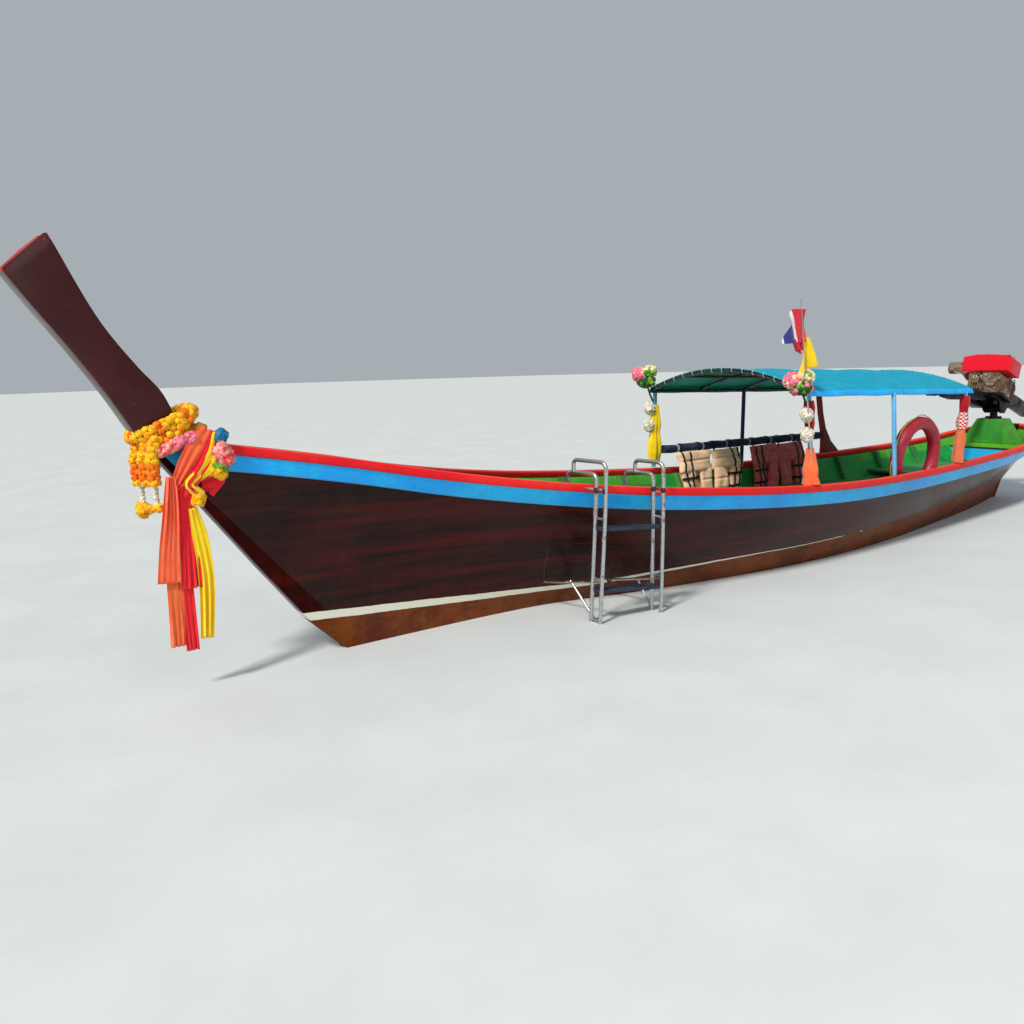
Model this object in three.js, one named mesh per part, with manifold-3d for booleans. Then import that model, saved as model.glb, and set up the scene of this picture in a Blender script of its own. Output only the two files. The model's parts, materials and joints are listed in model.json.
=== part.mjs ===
// Wooden longtail boat with canopy, boarding ladder and a swivelling long-shaft engine.
// Millimetres. X forward, Y to port, Z up. The origin is on the centreline at the waterline,
// midway between the feet of the stem and the stern post.
import * as THREE from 'three';
import { mergeVertices } from 'three/addons/utils/BufferGeometryUtils.js';
import Module from 'manifold-3d';

const wasm = await Module();
wasm.setup();

// Driving dimensions of the hull
const GAP = 0.3;
const CORE = 45;
const PLANK = 30;
const FACE_START = CORE + 1.5;
const TOP_DROP = 4;
const CAP_WIDTH = 70;
const CAP_HEIGHT = 50;
const STRAKE_INSET = 45;
const STRAKE_THICKNESS = 37;
const STRAKE_HEIGHT = 105;
const RIB_DEPTH = 42;
const RIB_WIDTH = 50;
const KEEL_DEPTH = 70;
const KEELSON_TOP = -155;

// Hull stations from stern to bow.
// Columns: x of the gunwale, half breadth, height of the cap, x of the foot, z of the foot, fullness
const STATIONS = [
  [-4520, 80, 758, -3720, -200, 1.4],
  [-4430, 205, 752, -3680, -212, 1.4],
  [-4300, 325, 738, -3600, -222, 1.35],
  [-4100, 440, 712, -3450, -232, 1.2],
  [-3800, 540, 668, -3200, -240, 1.0],
  [-3400, 610, 637, -2950, -248, 0.86],
  [-3100, 640, 626, -2750, -254, 0.75],
  [-2100, 722, 612, -2000, -270, 0.52],
  [-1100, 800, 614, -1100, -280, 0.36],
  [-100, 845, 640, -100, -280, 0.34],
  [900, 835, 706, 800, -280, 0.47],
  [1900, 712, 800, 1650, -275, 0.7],
  [2400, 606, 862, 2050, -272, 1.0],
  [2900, 480, 937, 2400, -270, 1.5],
  [3400, 351, 1028, 2750, -265, 1.8],
  [3900, 235, 1135, 3050, -260, 1.9],
  [4300, 162, 1212, 3280, -250, 1.9],
  [4700, 103, 1282, 3480, -235, 1.8],
  [4920, 80, 1313, 3600, -220, 1.6],
];
const RIB_STATIONS = [-3250, -2650, -2050, -1550, -980, -400, 200, 900, 1600, 2300, 3000];
const THWARTS = [1250, -100, -1200];
const THWART_TOP = 380;

// Stem and stern post outlines in the x-z plane
const STEM_FRONT = [
  [3450, -320], [3700, -235], [3920, 20], [4130, 216], [4400, 560], [4674, 922], [5006, 1345],
];
const STEM_BACK = [
  [4775, 1345], [4560, 1130], [4300, 800], [4020, 420], [3750, 90], [3560, -150], [3450, -218],
];
const PROW = [
  [4770, 1336], [5001, 1336], [5268, 1764], [5529, 2126], [5460, 2240], [5344, 2315],
  [5316, 2298], [5120, 1894], [4923, 1610], [4840, 1541],
];
const PROW_HALF = 66;
const STERN_POST = [
  [-3500, -180], [-4305, 760], [-4534, 760], [-3790, -330], [-3500, -310],
];

// Canopy and its posts
const CANOPY = { front: 500, rear: -1960, half: 765, edgeFront: 1367, edgeRear: 1272, rise: 165 };
const CANOPY_THICKNESS = 12;
const RAIL_RADIUS = 15;
const POST_RADIUS = 18;
const POST_SIDES = 12;
// Columns: name, side, x at the foot, y at the foot, x at the rail, y at the rail, colour
const POSTS = [
  ['post_port_front', 1, 440, 800, 440, 765, 0xa8d4ef],
  ['post_port_middle', 1, -715, 785, -690, 765, 0x86b8dc],
  ['post_port_rear', 1, -1880, 700, -1840, 765, 0xa8c4d8],
  ['post_starboard_front', -1, 440, 785, 440, 765, 0x9ccbe8],
  ['post_starboard_middle', -1, -740, 785, -740, 765, 0x1d3450],
];

// Engine swivel
const PIVOT = [-3970, 0, 950];
const REST_TILT = 20;
const CRANK_Z = 240;
const TAIL_Z = 190;
const TAIL_LENGTH = 3120;
const PROP_RADIUS = 150;

// Boarding ladder on the port side
const LADDER = { tube: 13, hookDrop: 78, legDrop: 215, knee: 330, length: 1070, lastStep: 1000 };
// Columns: name, x, top, y of the two inboard legs, y of the outer tube at the hook, knee and foot,
// y of the inner tube at the hook, knee and foot
const LADDER_SIDES = [
  ['fore', 2480, 1022, 425, 480, 778, 762, 702, 691, 674, 617],
  ['aft', 2005, 980, 462, 547, 800, 795, 772, 713, 707, 687],
];

const boat = new THREE.Group();

// Solids
function toSolid(geometry) {
  const bare = geometry.index ? geometry.toNonIndexed() : geometry.clone();
  bare.deleteAttribute('normal');
  bare.deleteAttribute('uv');
  const merged = mergeVertices(bare, 1e-3);
  return new wasm.Manifold(new wasm.Mesh({
    numProp: 3,
    vertProperties: new Float32Array(merged.attributes.position.array),
    triVerts: new Uint32Array(merged.index.array),
  }));
}

function toGeometry(solid) {
  const mesh = solid.getMesh();
  const geometry = new THREE.BufferGeometry();
  geometry.setAttribute('position', new THREE.BufferAttribute(mesh.vertProperties, 3));
  geometry.setIndex(new THREE.BufferAttribute(mesh.triVerts, 1));
  return geometry;
}

function box(x0, x1, y0, y1, z0, z1) {
  const geometry = new THREE.BoxGeometry(x1 - x0, y1 - y0, z1 - z0);
  geometry.translate((x0 + x1) / 2, (y0 + y1) / 2, (z0 + z1) / 2);
  return toSolid(geometry);
}

// A round rod between two points, with its own radius at each end
function rod(from, to, radiusFrom, radiusTo = radiusFrom, sides = 16) {
  const a = new THREE.Vector3(...from);
  const b = new THREE.Vector3(...to);
  const geometry = new THREE.CylinderGeometry(radiusTo, radiusFrom, a.distanceTo(b), sides);
  const turn = new THREE.Quaternion().setFromUnitVectors(
    new THREE.Vector3(0, 1, 0), b.clone().sub(a).normalize());
  geometry.applyQuaternion(turn);
  geometry.translate((a.x + b.x) / 2, (a.y + b.y) / 2, (a.z + b.z) / 2);
  return toSolid(geometry);
}

// An outline in the x-z plane, carried from y0 to y1
function plateAlongY(outline, y0, y1, bevel = 0) {
  const shape = new THREE.Shape(outline.map(([x, z]) => new THREE.Vector2(x, z)));
  const geometry = new THREE.ExtrudeGeometry(shape, {
    depth: y1 - y0 - 2 * bevel, bevelEnabled: bevel > 0, bevelSize: bevel, bevelOffset: -bevel,
    bevelThickness: bevel, bevelSegments: 1,
  });
  geometry.rotateX(Math.PI / 2);
  geometry.translate(0, y1 - bevel, 0);
  return toSolid(geometry);
}

// The same plate made larger all round by a margin
function grownPlateAlongY(outline, y0, y1, margin) {
  const shape = new THREE.Shape(outline.map(([x, z]) => new THREE.Vector2(x, z)));
  const geometry = new THREE.ExtrudeGeometry(shape, {
    depth: y1 - y0, bevelEnabled: true, bevelSize: margin, bevelThickness: margin, bevelSegments: 1,
  });
  geometry.rotateX(Math.PI / 2);
  geometry.translate(0, y1, 0);
  return toSolid(geometry);
}

// An outline in the y-z plane, carried from x0 to x1
function plateAlongX(outline, x0, x1, bevel = 0) {
  const shape = new THREE.Shape(outline.map(([y, z]) => new THREE.Vector2(y, z)));
  const geometry = new THREE.ExtrudeGeometry(shape, {
    depth: x1 - x0 - 2 * bevel, bevelEnabled: bevel > 0, bevelSize: bevel, bevelOffset: -bevel,
    bevelThickness: bevel, bevelSegments: 1,
  });
  geometry.rotateX(Math.PI / 2);
  geometry.rotateZ(Math.PI / 2);
  geometry.translate(x0 + bevel, 0, 0);
  return toSolid(geometry);
}

// A closed ring of points at each of several stations, joined by a skin and closed at both ends
function skin(loops) {
  const area = THREE.ShapeUtils.area(loops[0].map((p) => new THREE.Vector2(p.y, p.z)));
  const rings = area > 0 ? loops : loops.map((loop) => [...loop].reverse());
  const count = rings[0].length;
  const index = [];
  for (let i = 0; i < rings.length - 1; i += 1) {
    for (let j = 0; j < count; j += 1) {
      const a = i * count + j;
      const b = i * count + ((j + 1) % count);
      index.push(a, b, b + count, a, b + count, a + count);
    }
  }
  [0, rings.length - 1].forEach((i) => {
    const flat = rings[i].map((p) => new THREE.Vector2(p.y, p.z));
    THREE.ShapeUtils.triangulateShape(flat, []).forEach(([a, b, c]) => {
      const at = i * count;
      index.push(...(i === 0 ? [at + a, at + c, at + b] : [at + a, at + b, at + c]));
    });
  });
  const geometry = new THREE.BufferGeometry();
  const points = rings.flat().flatMap((p) => [p.x, p.y, p.z]);
  geometry.setAttribute('position', new THREE.Float32BufferAttribute(points, 3));
  geometry.setIndex(index);
  return toSolid(geometry);
}

// A round tube along a route of points with rounded corners
function tube(route, radius, corner = 40, sides = 6) {
  const points = route.map((p) => new THREE.Vector3(...p));
  const path = new THREE.CurvePath();
  let from = points[0];
  for (let i = 1; i < points.length - 1; i += 1) {
    const toward = points[i - 1].clone().sub(points[i]).setLength(corner).add(points[i]);
    const away = points[i + 1].clone().sub(points[i]).setLength(corner).add(points[i]);
    path.add(new THREE.LineCurve3(from, toward));
    path.add(new THREE.QuadraticBezierCurve3(toward, points[i], away));
    from = away;
  }
  path.add(new THREE.LineCurve3(from, points[points.length - 1]));
  const stops = [];
  path.curves.forEach((curve) => {
    const steps = curve.isLineCurve3 ? 1 : 2;
    for (let i = 0; i < steps; i += 1) {
      stops.push(curve.getPoint(i / steps));
    }
  });
  stops.push(points[points.length - 1]);
  return chain(stops, radius, sides);
}

// Round sections at each stop, each turned halfway between the stretches that meet there
function chain(stops, radius, sides) {
  const rings = [];
  let across = null;
  stops.forEach((stop, i) => {
    const before = stops[Math.max(i - 1, 0)];
    const after = stops[Math.min(i + 1, stops.length - 1)];
    const along = after.clone().sub(before).normalize();
    if (across === null) {
      across = new THREE.Vector3(0.31, 0.52, 0.79);
    }
    across = across.clone().addScaledVector(along, -across.dot(along)).normalize();
    const third = along.clone().cross(across);
    const ring = [];
    for (let k = 0; k < sides; k += 1) {
      const angle = (2 * Math.PI * k) / sides;
      ring.push(stop.clone().addScaledVector(across, radius * Math.cos(angle))
        .addScaledVector(third, radius * Math.sin(angle)));
    }
    rings.push(ring);
  });
  const index = [];
  const points = rings.flat();
  for (let i = 0; i < rings.length - 1; i += 1) {
    for (let k = 0; k < sides; k += 1) {
      const a = i * sides + k;
      const b = i * sides + ((k + 1) % sides);
      index.push(a, b, b + sides, a, b + sides, a + sides);
    }
  }
  const last = (rings.length - 1) * sides;
  for (let k = 1; k < sides - 1; k += 1) {
    index.push(0, k + 1, k);
    index.push(last, last + k, last + k + 1);
  }
  const geometry = new THREE.BufferGeometry();
  geometry.setAttribute('position',
    new THREE.Float32BufferAttribute(points.flatMap((p) => [p.x, p.y, p.z]), 3));
  geometry.setIndex(index);
  return toSolid(geometry);
}

// A body of revolution about a line from a point along a direction. Profile: [along, radius]
function turned(origin, direction, profile, sides = 20) {
  const geometry = new THREE.LatheGeometry(
    profile.map(([along, radius]) => new THREE.Vector2(radius, along)), sides);
  const solid = toSolid(geometry);
  const turn = new THREE.Matrix4().makeRotationFromQuaternion(
    new THREE.Quaternion().setFromUnitVectors(
      new THREE.Vector3(0, 1, 0), new THREE.Vector3(...direction).normalize()));
  turn.setPosition(...origin);
  return solid.transform(turn.elements);
}

function join(...solids) {
  return solids.reduce((whole, solid) => whole.add(solid));
}

function piece(name, solid, colour, roughness, metalness = 0, parent = boat) {
  const material = new THREE.MeshStandardMaterial({ color: colour, roughness, metalness });
  const mesh = new THREE.Mesh(toGeometry(solid), material);
  mesh.name = name;
  parent.add(mesh);
  return mesh;
}

const FAR = 9000;
const portHalf = box(-FAR, FAR, CORE + GAP, FAR, -FAR, FAR);
const mirrored = (solid) => solid.mirror([0, 1, 0]);

// The hull's surface
const column = (x, y, z) => STATIONS.map((row) => new THREE.Vector3(row[x], row[y], row[z]));
const gunwaleCurve = new THREE.CatmullRomCurve3(column(0, 1, 2));
const footCurve = new THREE.CatmullRomCurve3(column(3, 5, 4).map((p) => p.setY(p.y * 1000)));
const STEPS = STATIONS.length - 1;

function station(i) {
  const t = Math.min(Math.max(i / STEPS, 0), 1);
  const edge = gunwaleCurve.getPoint(t);
  const ahead = gunwaleCurve.getPoint(Math.min(t + 0.004, 1));
  const behind = gunwaleCurve.getPoint(Math.max(t - 0.004, 0));
  const out = new THREE.Vector2(behind.y - ahead.y, ahead.x - behind.x).normalize();
  const foot = footCurve.getPoint(t);
  return { edge, out, footX: foot.x, footZ: foot.z, power: foot.y / 1000 };
}

// A point of the gunwale, moved outwards in plan and set at a height
function edgePoint(i, outwards, z) {
  const { edge, out } = station(i);
  return new THREE.Vector3(edge.x + out.x * outwards, edge.y + out.y * outwards, edge.z + z);
}

// A point of the planking's outer face, from the foot (0) to the top edge (1), moved outwards in plan.
// The half breadth grows with the height above the foot, to the power of the station's fullness.
function facePoint(i, height, outwards = 0) {
  const { edge, out, footX, footZ, power } = station(i);
  const top = new THREE.Vector3(edge.x - out.x * STRAKE_INSET, edge.y - out.y * STRAKE_INSET,
    edge.z - CAP_HEIGHT - GAP);
  const spread = Math.max(top.y - FACE_START, 2);
  return new THREE.Vector3(
    footX + (top.x - footX) * height + out.x * outwards,
    FACE_START + spread * height ** power + out.y * outwards,
    footZ + (top.z - footZ) * height);
}

// The same point sunk square to the face by a depth
function sunkPoint(i, height, depth) {
  const step = 0.02;
  const low = Math.max(height - step, 0.004);
  const up = facePoint(i, Math.min(height + step, 1)).sub(facePoint(i, low));
  const along = facePoint(Math.min(i + 0.15, STEPS), height).sub(facePoint(Math.max(i - 0.15, 0), height));
  const inwards = up.cross(along).normalize();
  if (inwards.y > 0) {
    inwards.negate();
  }
  return facePoint(i, height).addScaledVector(inwards, depth);
}

const HEIGHTS = [0, 0.04, 0.14, 0.3, 0.52, 0.76, 1];
const RINGS = Array.from({ length: STEPS + 1 }, (_, i) => i);

// Planking of the port side between two heights, larger by a margin on both faces
function plankSkin(margin, from = 0, to = 1) {
  const heights = [from, ...HEIGHTS.filter((height) => height > from && height < to), to];
  return skin(RINGS.map((i) => [
    ...heights.map((height) => facePoint(i, height, margin).add(new THREE.Vector3(0, 0, margin * height))),
    ...[...heights].reverse().map((height) => {
      const point = sunkPoint(i, height, PLANK + margin);
      return height === 1 ? point.setZ(facePoint(i, 1).z - TOP_DROP + margin) : point;
    }),
  ]));
}

// The bottom planks end at a seam, and the side planks start above it
const SEAM = { low: 0.299, high: 0.301 };
const bottomPlanks = plankSkin(0, 0, SEAM.low).intersect(portHalf);
const sidePlanks = plankSkin(0, SEAM.high, 1).intersect(portHalf);
const plankZone = join(plankSkin(GAP), mirrored(plankSkin(GAP)));

// The room inside the planking, less a margin, up to a rise above the top edge of the planks
function insideRoom(margin, rise = 0) {
  return skin(RINGS.map((i) => {
    const side = HEIGHTS.map((height) => {
      const point = sunkPoint(i, height, PLANK + margin);
      return point.setY(Math.max(point.y, 1));
    });
    const top = side[side.length - 1].clone().setZ(facePoint(i, 1).z + rise);
    side[side.length - 1] = top;
    const port = [...side].reverse();
    const starboard = side.map((p) => new THREE.Vector3(p.x, -p.y, p.z));
    return [...port, ...starboard].reverse();
  }));
}

const largest = (solid) => solid.decompose().sort((a, b) => b.volume() - a.volume())[0];
const roomAtPlanks = insideRoom(0).subtract(plankZone);
const roomAtRibs = insideRoom(GAP + RIB_DEPTH, 40);
const roomOverRibs = insideRoom(2 * GAP + RIB_DEPTH).subtract(plankZone);

// Gunwale cap of the port side, larger all round by a margin
function capBar(margin) {
  return skin(RINGS.map((i) => [
    edgePoint(i, -CAP_WIDTH - margin, -CAP_HEIGHT - margin), edgePoint(i, margin, -CAP_HEIGHT - margin),
    edgePoint(i, margin, -12), edgePoint(i, -12, margin),
    edgePoint(i, -CAP_WIDTH + 12, margin), edgePoint(i, -CAP_WIDTH - margin, -12),
  ]));
}

const cap = capBar(0).intersect(portHalf);
const capZone = join(capBar(GAP), mirrored(capBar(GAP)));

// Everything inside the planking's outer face, moved outwards by a margin
function hullBody(margin) {
  return skin(RINGS.map((i) => {
    const side = [...HEIGHTS, 1.03].map((height) => facePoint(i, height, margin));
    return [...side, ...side.map((p) => new THREE.Vector3(p.x, -p.y, p.z)).reverse()];
  }));
}

const strake = largest(skin(RINGS.map((k) => {
  const i = Math.min(Math.max(k, 0.05), STEPS - 0.05);
  const { footZ } = station(i);
  const top = facePoint(i, 1).z;
  const low = (top - STRAKE_HEIGHT - footZ) / (top - footZ);
  const outer = facePoint(i, 1, STRAKE_THICKNESS);
  return [
    facePoint(i, 1, -5), facePoint(i, low, -5), facePoint(i, low, STRAKE_THICKNESS - 10),
    facePoint(i, low + 0.02, STRAKE_THICKNESS), outer,
  ];
})).subtract(plankZone).intersect(portHalf));

// Centre line timbers
const keelLine = STATIONS.map((row) => [row[3], row[4]]);
const KEEL_ENDS = [-3500 + GAP, 3450 - GAP];
const keelTop = keelLine.filter(([x]) => x > KEEL_ENDS[0] && x < KEEL_ENDS[1]);
const keel = plateAlongY([
  [KEEL_ENDS[0], -246 - KEEL_DEPTH], [KEEL_ENDS[1], -237 - KEEL_DEPTH], [KEEL_ENDS[1], -205],
  ...keelTop.map(([x, z]) => [x, z + PLANK + 2]).reverse(), [KEEL_ENDS[0], -210],
], -CORE, CORE);

const keelZone = grownPlateAlongY([
  [KEEL_ENDS[0], -400], [KEEL_ENDS[1], -400], [KEEL_ENDS[1], -205],
  ...keelTop.map(([x, z]) => [x, z + PLANK + 2]).reverse(), [KEEL_ENDS[0], -210],
], -CORE, CORE, GAP);
const stemOutline = [...STEM_FRONT, ...STEM_BACK];
const stem = join(
  plateAlongY(stemOutline, -CORE, CORE),
  plateAlongY(PROW, -PROW_HALF, PROW_HALF, 14));
const stemZone = grownPlateAlongY(stemOutline, -CORE, CORE, GAP);
const sternPostZone = grownPlateAlongY(STERN_POST, -CORE, CORE, GAP);

piece('keel', keel, 0x4a1a16, 0.6);
piece('stem_post', stem, 0x5a181c, 0.5);
piece('stern_post', plateAlongY(STERN_POST, -CORE, CORE), 0x5a181c, 0.5);
piece('planking_port', sidePlanks, 0x4a0f12, 0.35);
piece('planking_starboard', mirrored(sidePlanks), 0x4a0f12, 0.35);
piece('bottom_planks_port', bottomPlanks, 0x4a0f12, 0.35);
piece('bottom_planks_starboard', mirrored(bottomPlanks), 0x4a0f12, 0.35);
piece('rub_strake_port', strake, 0x2f93e0, 0.4);
piece('rub_strake_starboard', mirrored(strake), 0x2f93e0, 0.4);
piece('gunwale_cap_port', cap, 0xe02535, 0.5);
piece('gunwale_cap_starboard', mirrored(cap), 0xe02535, 0.5);

// Floor timbers on a keelson, and the ribs of each side, tied by the stringer that carries the thwarts
const slabs = RIB_STATIONS.map((x) => box(x - RIB_WIDTH / 2, x + RIB_WIDTH / 2, -FAR, FAR, -FAR, FAR));
const ribs = insideRoom(0).subtract(roomAtRibs).intersect(join(...slabs)).subtract(plankZone)
  .subtract(keelZone);
const below = box(-FAR, FAR, -FAR, FAR, -FAR, KEELSON_TOP);
const keelson = box(-3280, 3030, -32, 32, -260, KEELSON_TOP);
piece('floor_timbers', join(ribs.intersect(below), keelson).subtract(keelZone), 0x2f8a4c, 0.6);
const STRINGER = { rear: -3270, front: 2950, low: 292, high: THWART_TOP - 35 - GAP, depth: 26 };
const stringers = insideRoom(GAP + RIB_DEPTH - 8).subtract(insideRoom(GAP + RIB_DEPTH + STRINGER.depth))
  .intersect(box(STRINGER.rear, STRINGER.front, -FAR, FAR, STRINGER.low, STRINGER.high));
const sideRibs = join(ribs.subtract(box(-FAR, FAR, -FAR, FAR, -FAR, KEELSON_TOP + GAP)), stringers)
  .subtract(keelZone);
piece('ribs_port', largest(sideRibs.intersect(box(-FAR, FAR, 0, FAR, -FAR, FAR))), 0x2f8a4c, 0.6);
piece('ribs_starboard', largest(sideRibs.intersect(box(-FAR, FAR, -FAR, 0, -FAR, FAR))), 0x2f8a4c, 0.6);
const grownSlabs = RIB_STATIONS.map((x) => box(
  x - RIB_WIDTH / 2 - GAP, x + RIB_WIDTH / 2 + GAP, -FAR, FAR, -FAR, FAR));
const ribZone = insideRoom(0).subtract(insideRoom(2 * GAP + RIB_DEPTH, 40)).intersect(join(...grownSlabs));

// Floor boards, thwarts and decks, each cut to the room inside the hull
const boards = box(-2500, 2350, -FAR, FAR, KEELSON_TOP + GAP, KEELSON_TOP + 25).intersect(roomOverRibs);
piece('floor_boards', boards, 0x6e7f6a, 0.7);
THWARTS.forEach((x, i) => {
  const board = box(x - 115, x + 115, -FAR, FAR, THWART_TOP - 35, THWART_TOP).intersect(roomAtPlanks);
  piece(`thwart_${i + 1}`, board, 0x2d9a58, 0.6);
});
const thwartZone = join(...THWARTS.map((x) => box(
  x - 115 - GAP, x + 115 + GAP, -FAR, FAR, THWART_TOP - 35 - GAP, THWART_TOP + GAP)));
const foredeck = plateAlongY([[3330, 905], [4550, 1128], [4550, 1150], [3330, 927]], -FAR, FAR)
  .intersect(roomAtPlanks).subtract(stemZone);
piece('foredeck', foredeck, 0xb8342c, 0.6);
const DECK_TOP = 405;
const sternDeck = box(-3800, -2450, -FAR, FAR, DECK_TOP - 22, DECK_TOP).intersect(insideRoom(8))
  .subtract(ribZone);
piece('stern_deck', sternDeck, 0x46b9e6, 0.5);
const PLATFORM_TOP = 588;
const platform = join(
  box(-4380, -3830, -FAR, FAR, PLATFORM_TOP - 25, PLATFORM_TOP),
  box(-3860, -3830, -FAR, FAR, PLATFORM_TOP - 85, PLATFORM_TOP),
).intersect(roomAtPlanks).subtract(sternPostZone);
piece('stern_platform', platform, 0x6eb428, 0.55);
const pedestal = plateAlongX([
  [-300, PLATFORM_TOP + GAP], [300, PLATFORM_TOP + GAP], [140, 850], [-140, 850],
], -4050, -3890);
piece('engine_pedestal', pedestal, 0x2b8f45, 0.55);

// Canopy: a shallow arch on side rails, purlins and bows
const edgeHeight = (x) => CANOPY.edgeRear
  + ((x - CANOPY.rear) / (CANOPY.front - CANOPY.rear)) * (CANOPY.edgeFront - CANOPY.edgeRear);
const arch = (y) => CANOPY.rise * (1 - (y / CANOPY.half) ** 2);
const ACROSS = Array.from({ length: 13 }, (_, k) => CANOPY.half * (k / 6 - 1));
const cover = skin([CANOPY.rear, -730, CANOPY.front].map((x) => [
  ...ACROSS.map((y) => new THREE.Vector3(x, y, edgeHeight(x) + arch(y) - CANOPY_THICKNESS)),
  ...[...ACROSS].reverse().map((y) => new THREE.Vector3(x, y, edgeHeight(x) + arch(y))),
]));
piece('canopy_cover', cover, 0x05afcf, 0.6);
const BAR = 11;
const undersideZ = (x, y) => edgeHeight(x) + arch(y) - CANOPY_THICKNESS - GAP;
const alongBar = (y, radius) => rod(
  [CANOPY.rear + 20, y, undersideZ(CANOPY.rear + 20, y) - radius - 1],
  [CANOPY.front - 20, y, undersideZ(CANOPY.front - 20, y) - radius - 1], radius, radius, 6);
const bow = (x) => chain(ACROSS.filter((_, k) => k % 3 === 0).map(
  (y) => new THREE.Vector3(x, y, undersideZ(x, y) - BAR - 2)), BAR, 6);
const railRun = (y, margin) => rod(
  [CANOPY.rear + 20, y, undersideZ(CANOPY.rear + 20, y) - RAIL_RADIUS - 1],
  [CANOPY.front - 20, y, undersideZ(CANOPY.front - 20, y) - RAIL_RADIUS - 1],
  RAIL_RADIUS + margin, RAIL_RADIUS + margin, 8);
const RAIL_Y = CANOPY.half - 4;
const canopyFrame = join(
  railRun(RAIL_Y, 0), railRun(-RAIL_Y, 0),
  ...[-380, 0, 380].map((y) => alongBar(y, BAR)),
  ...[CANOPY.front - 25, -130, -735, -1345, CANOPY.rear + 25].map(bow));
piece('canopy_frame', canopyFrame, 0x2c4a52, 0.5, 0.3);
const overhead = skin([-FAR, FAR].map((x) => [
  new THREE.Vector3(x, -FAR, FAR), new THREE.Vector3(x, -FAR, edgeHeight(x) - 32),
  new THREE.Vector3(x, FAR, edgeHeight(x) - 32), new THREE.Vector3(x, FAR, FAR),
]));
const railZone = join(railRun(RAIL_Y, GAP), railRun(-RAIL_Y, GAP));
const postTop = (x) => undersideZ(x, CANOPY.half) - RAIL_RADIUS - 1;
const postFoot = (x) => {
  const i = RINGS.find((k) => station(k).edge.x >= x);
  return station(i).edge.z - 22;
};
POSTS.forEach(([name, side, footX, footY, topX, topY, colour]) => {
  const whole = rod([footX, side * footY, postFoot(footX)], [topX, side * topY, postTop(topX)],
    POST_RADIUS, POST_RADIUS, POST_SIDES);
  const cutPost = whole.subtract(capZone).subtract(railZone).decompose()
    .sort((a, b) => b.volume() - a.volume())[0];
  piece(name, cutPost, colour, 0.45);
});
const KNEE_POST = [
  [-1920, 1290], [-1875, 1290], [-1890, 1000], [-1915, 800], [-1900, 680], [-1880, 590],
  [-2180, 590], [-2130, 640], [-2040, 720], [-1965, 850], [-1935, 1000],
];
const LEAN = -0.09;
const lean = [1, 0, 0, 0, 0, 1, 0, 0, 0, LEAN, 1, 0, 0, -650 * LEAN, 0, 1];
const kneePost = plateAlongY(KNEE_POST, -730, -690).transform(lean)
  .subtract(capZone).subtract(railZone).decompose().sort((a, b) => b.volume() - a.volume())[0];
piece('post_starboard_rear', kneePost.subtract(overhead), 0x7a1c24, 0.55);

// Roll along the starboard posts with the life jackets hung over it
const ROLL = { front: 385, rear: -1870, y: -724, zFront: 832, zRear: 786, radius: 36 };
const roll = rod([ROLL.rear, ROLL.y, ROLL.zRear], [ROLL.front, ROLL.y, ROLL.zFront], ROLL.radius);
piece('side_roll', roll, 0x0f2142, 0.8);
const rollTop = (x) => ROLL.zRear + ROLL.radius
  + ((x - ROLL.rear) / (ROLL.front - ROLL.rear)) * (ROLL.zFront - ROLL.zRear);
const JACKETS = [[205, -195], [-225, -630], [-800, -1180], [-1200, -1520]];
JACKETS.forEach(([front, rear], i) => {
  const top = rollTop(front) + 0.5;
  const jacket = plateAlongX([
    [-600, top - 470], [-600, top - 8], [-630, top + 18], [-740, top + 18], [-755, top + 8],
    [-755, top], [-650, top], [-650, top - 470],
  ], rear, front).subtract(plankZone).subtract(ribZone).subtract(thwartZone);
  piece(`life_jacket_${i + 1}`, largest(jacket), i < 2 ? 0xf0c99a : 0x8c3f3a, 0.85);
});

// Life ring, standing on the aft thwart and leaning outwards
const RING = { x: -1200, y: 545, centre: 292, tube: 55, lean: 20 };
const ringGeometry = new THREE.TorusGeometry(RING.centre, RING.tube, 8, 22);
ringGeometry.rotateX(Math.PI / 2);
ringGeometry.translate(0, 0, RING.centre);
ringGeometry.rotateX(-THREE.MathUtils.degToRad(RING.lean));
ringGeometry.translate(RING.x, RING.y, THWART_TOP + RING.tube - 6.3);
piece('life_ring', toSolid(ringGeometry), 0x9e2438, 0.6);

// Boarding ladder
function breadthAt(x, z) {
  for (let i = 0; i < STEPS; i += 0.1) {
    const { edge, footX, footZ } = station(i);
    const height = (z - footZ) / (edge.z - CAP_HEIGHT - footZ);
    if (height > 0 && footX + (edge.x - footX) * height >= x) {
      return facePoint(i, height).y;
    }
  }
  return 0;
}

const capTopAt = (x) => {
  let i = 0;
  while (station(i).edge.x < x) {
    i += 0.05;
  }
  return station(i).edge.z;
};

// The two bent tubes of one side, larger by a margin
function sideTubes([, x, top, leg, rise, ...ys], margin) {
  const [outerHook, outerKnee, outerFoot, innerHook, innerKnee, innerFoot] = ys;
  const radius = LADDER.tube + margin;
  const { hookDrop, legDrop, knee, length } = LADDER;
  return [
    tube([
      [x, rise, top - hookDrop], [x, rise, top], [x, outerHook, top],
      [x, outerKnee, top - knee], [x, outerFoot, top - length],
    ], radius, 55),
    tube([
      [x, leg, top - legDrop], [x, leg, top - hookDrop], [x, innerHook, top - hookDrop],
      [x, innerKnee, top - knee], [x, innerFoot, top - length - 15],
    ], radius, 45),
  ];
}

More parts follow.
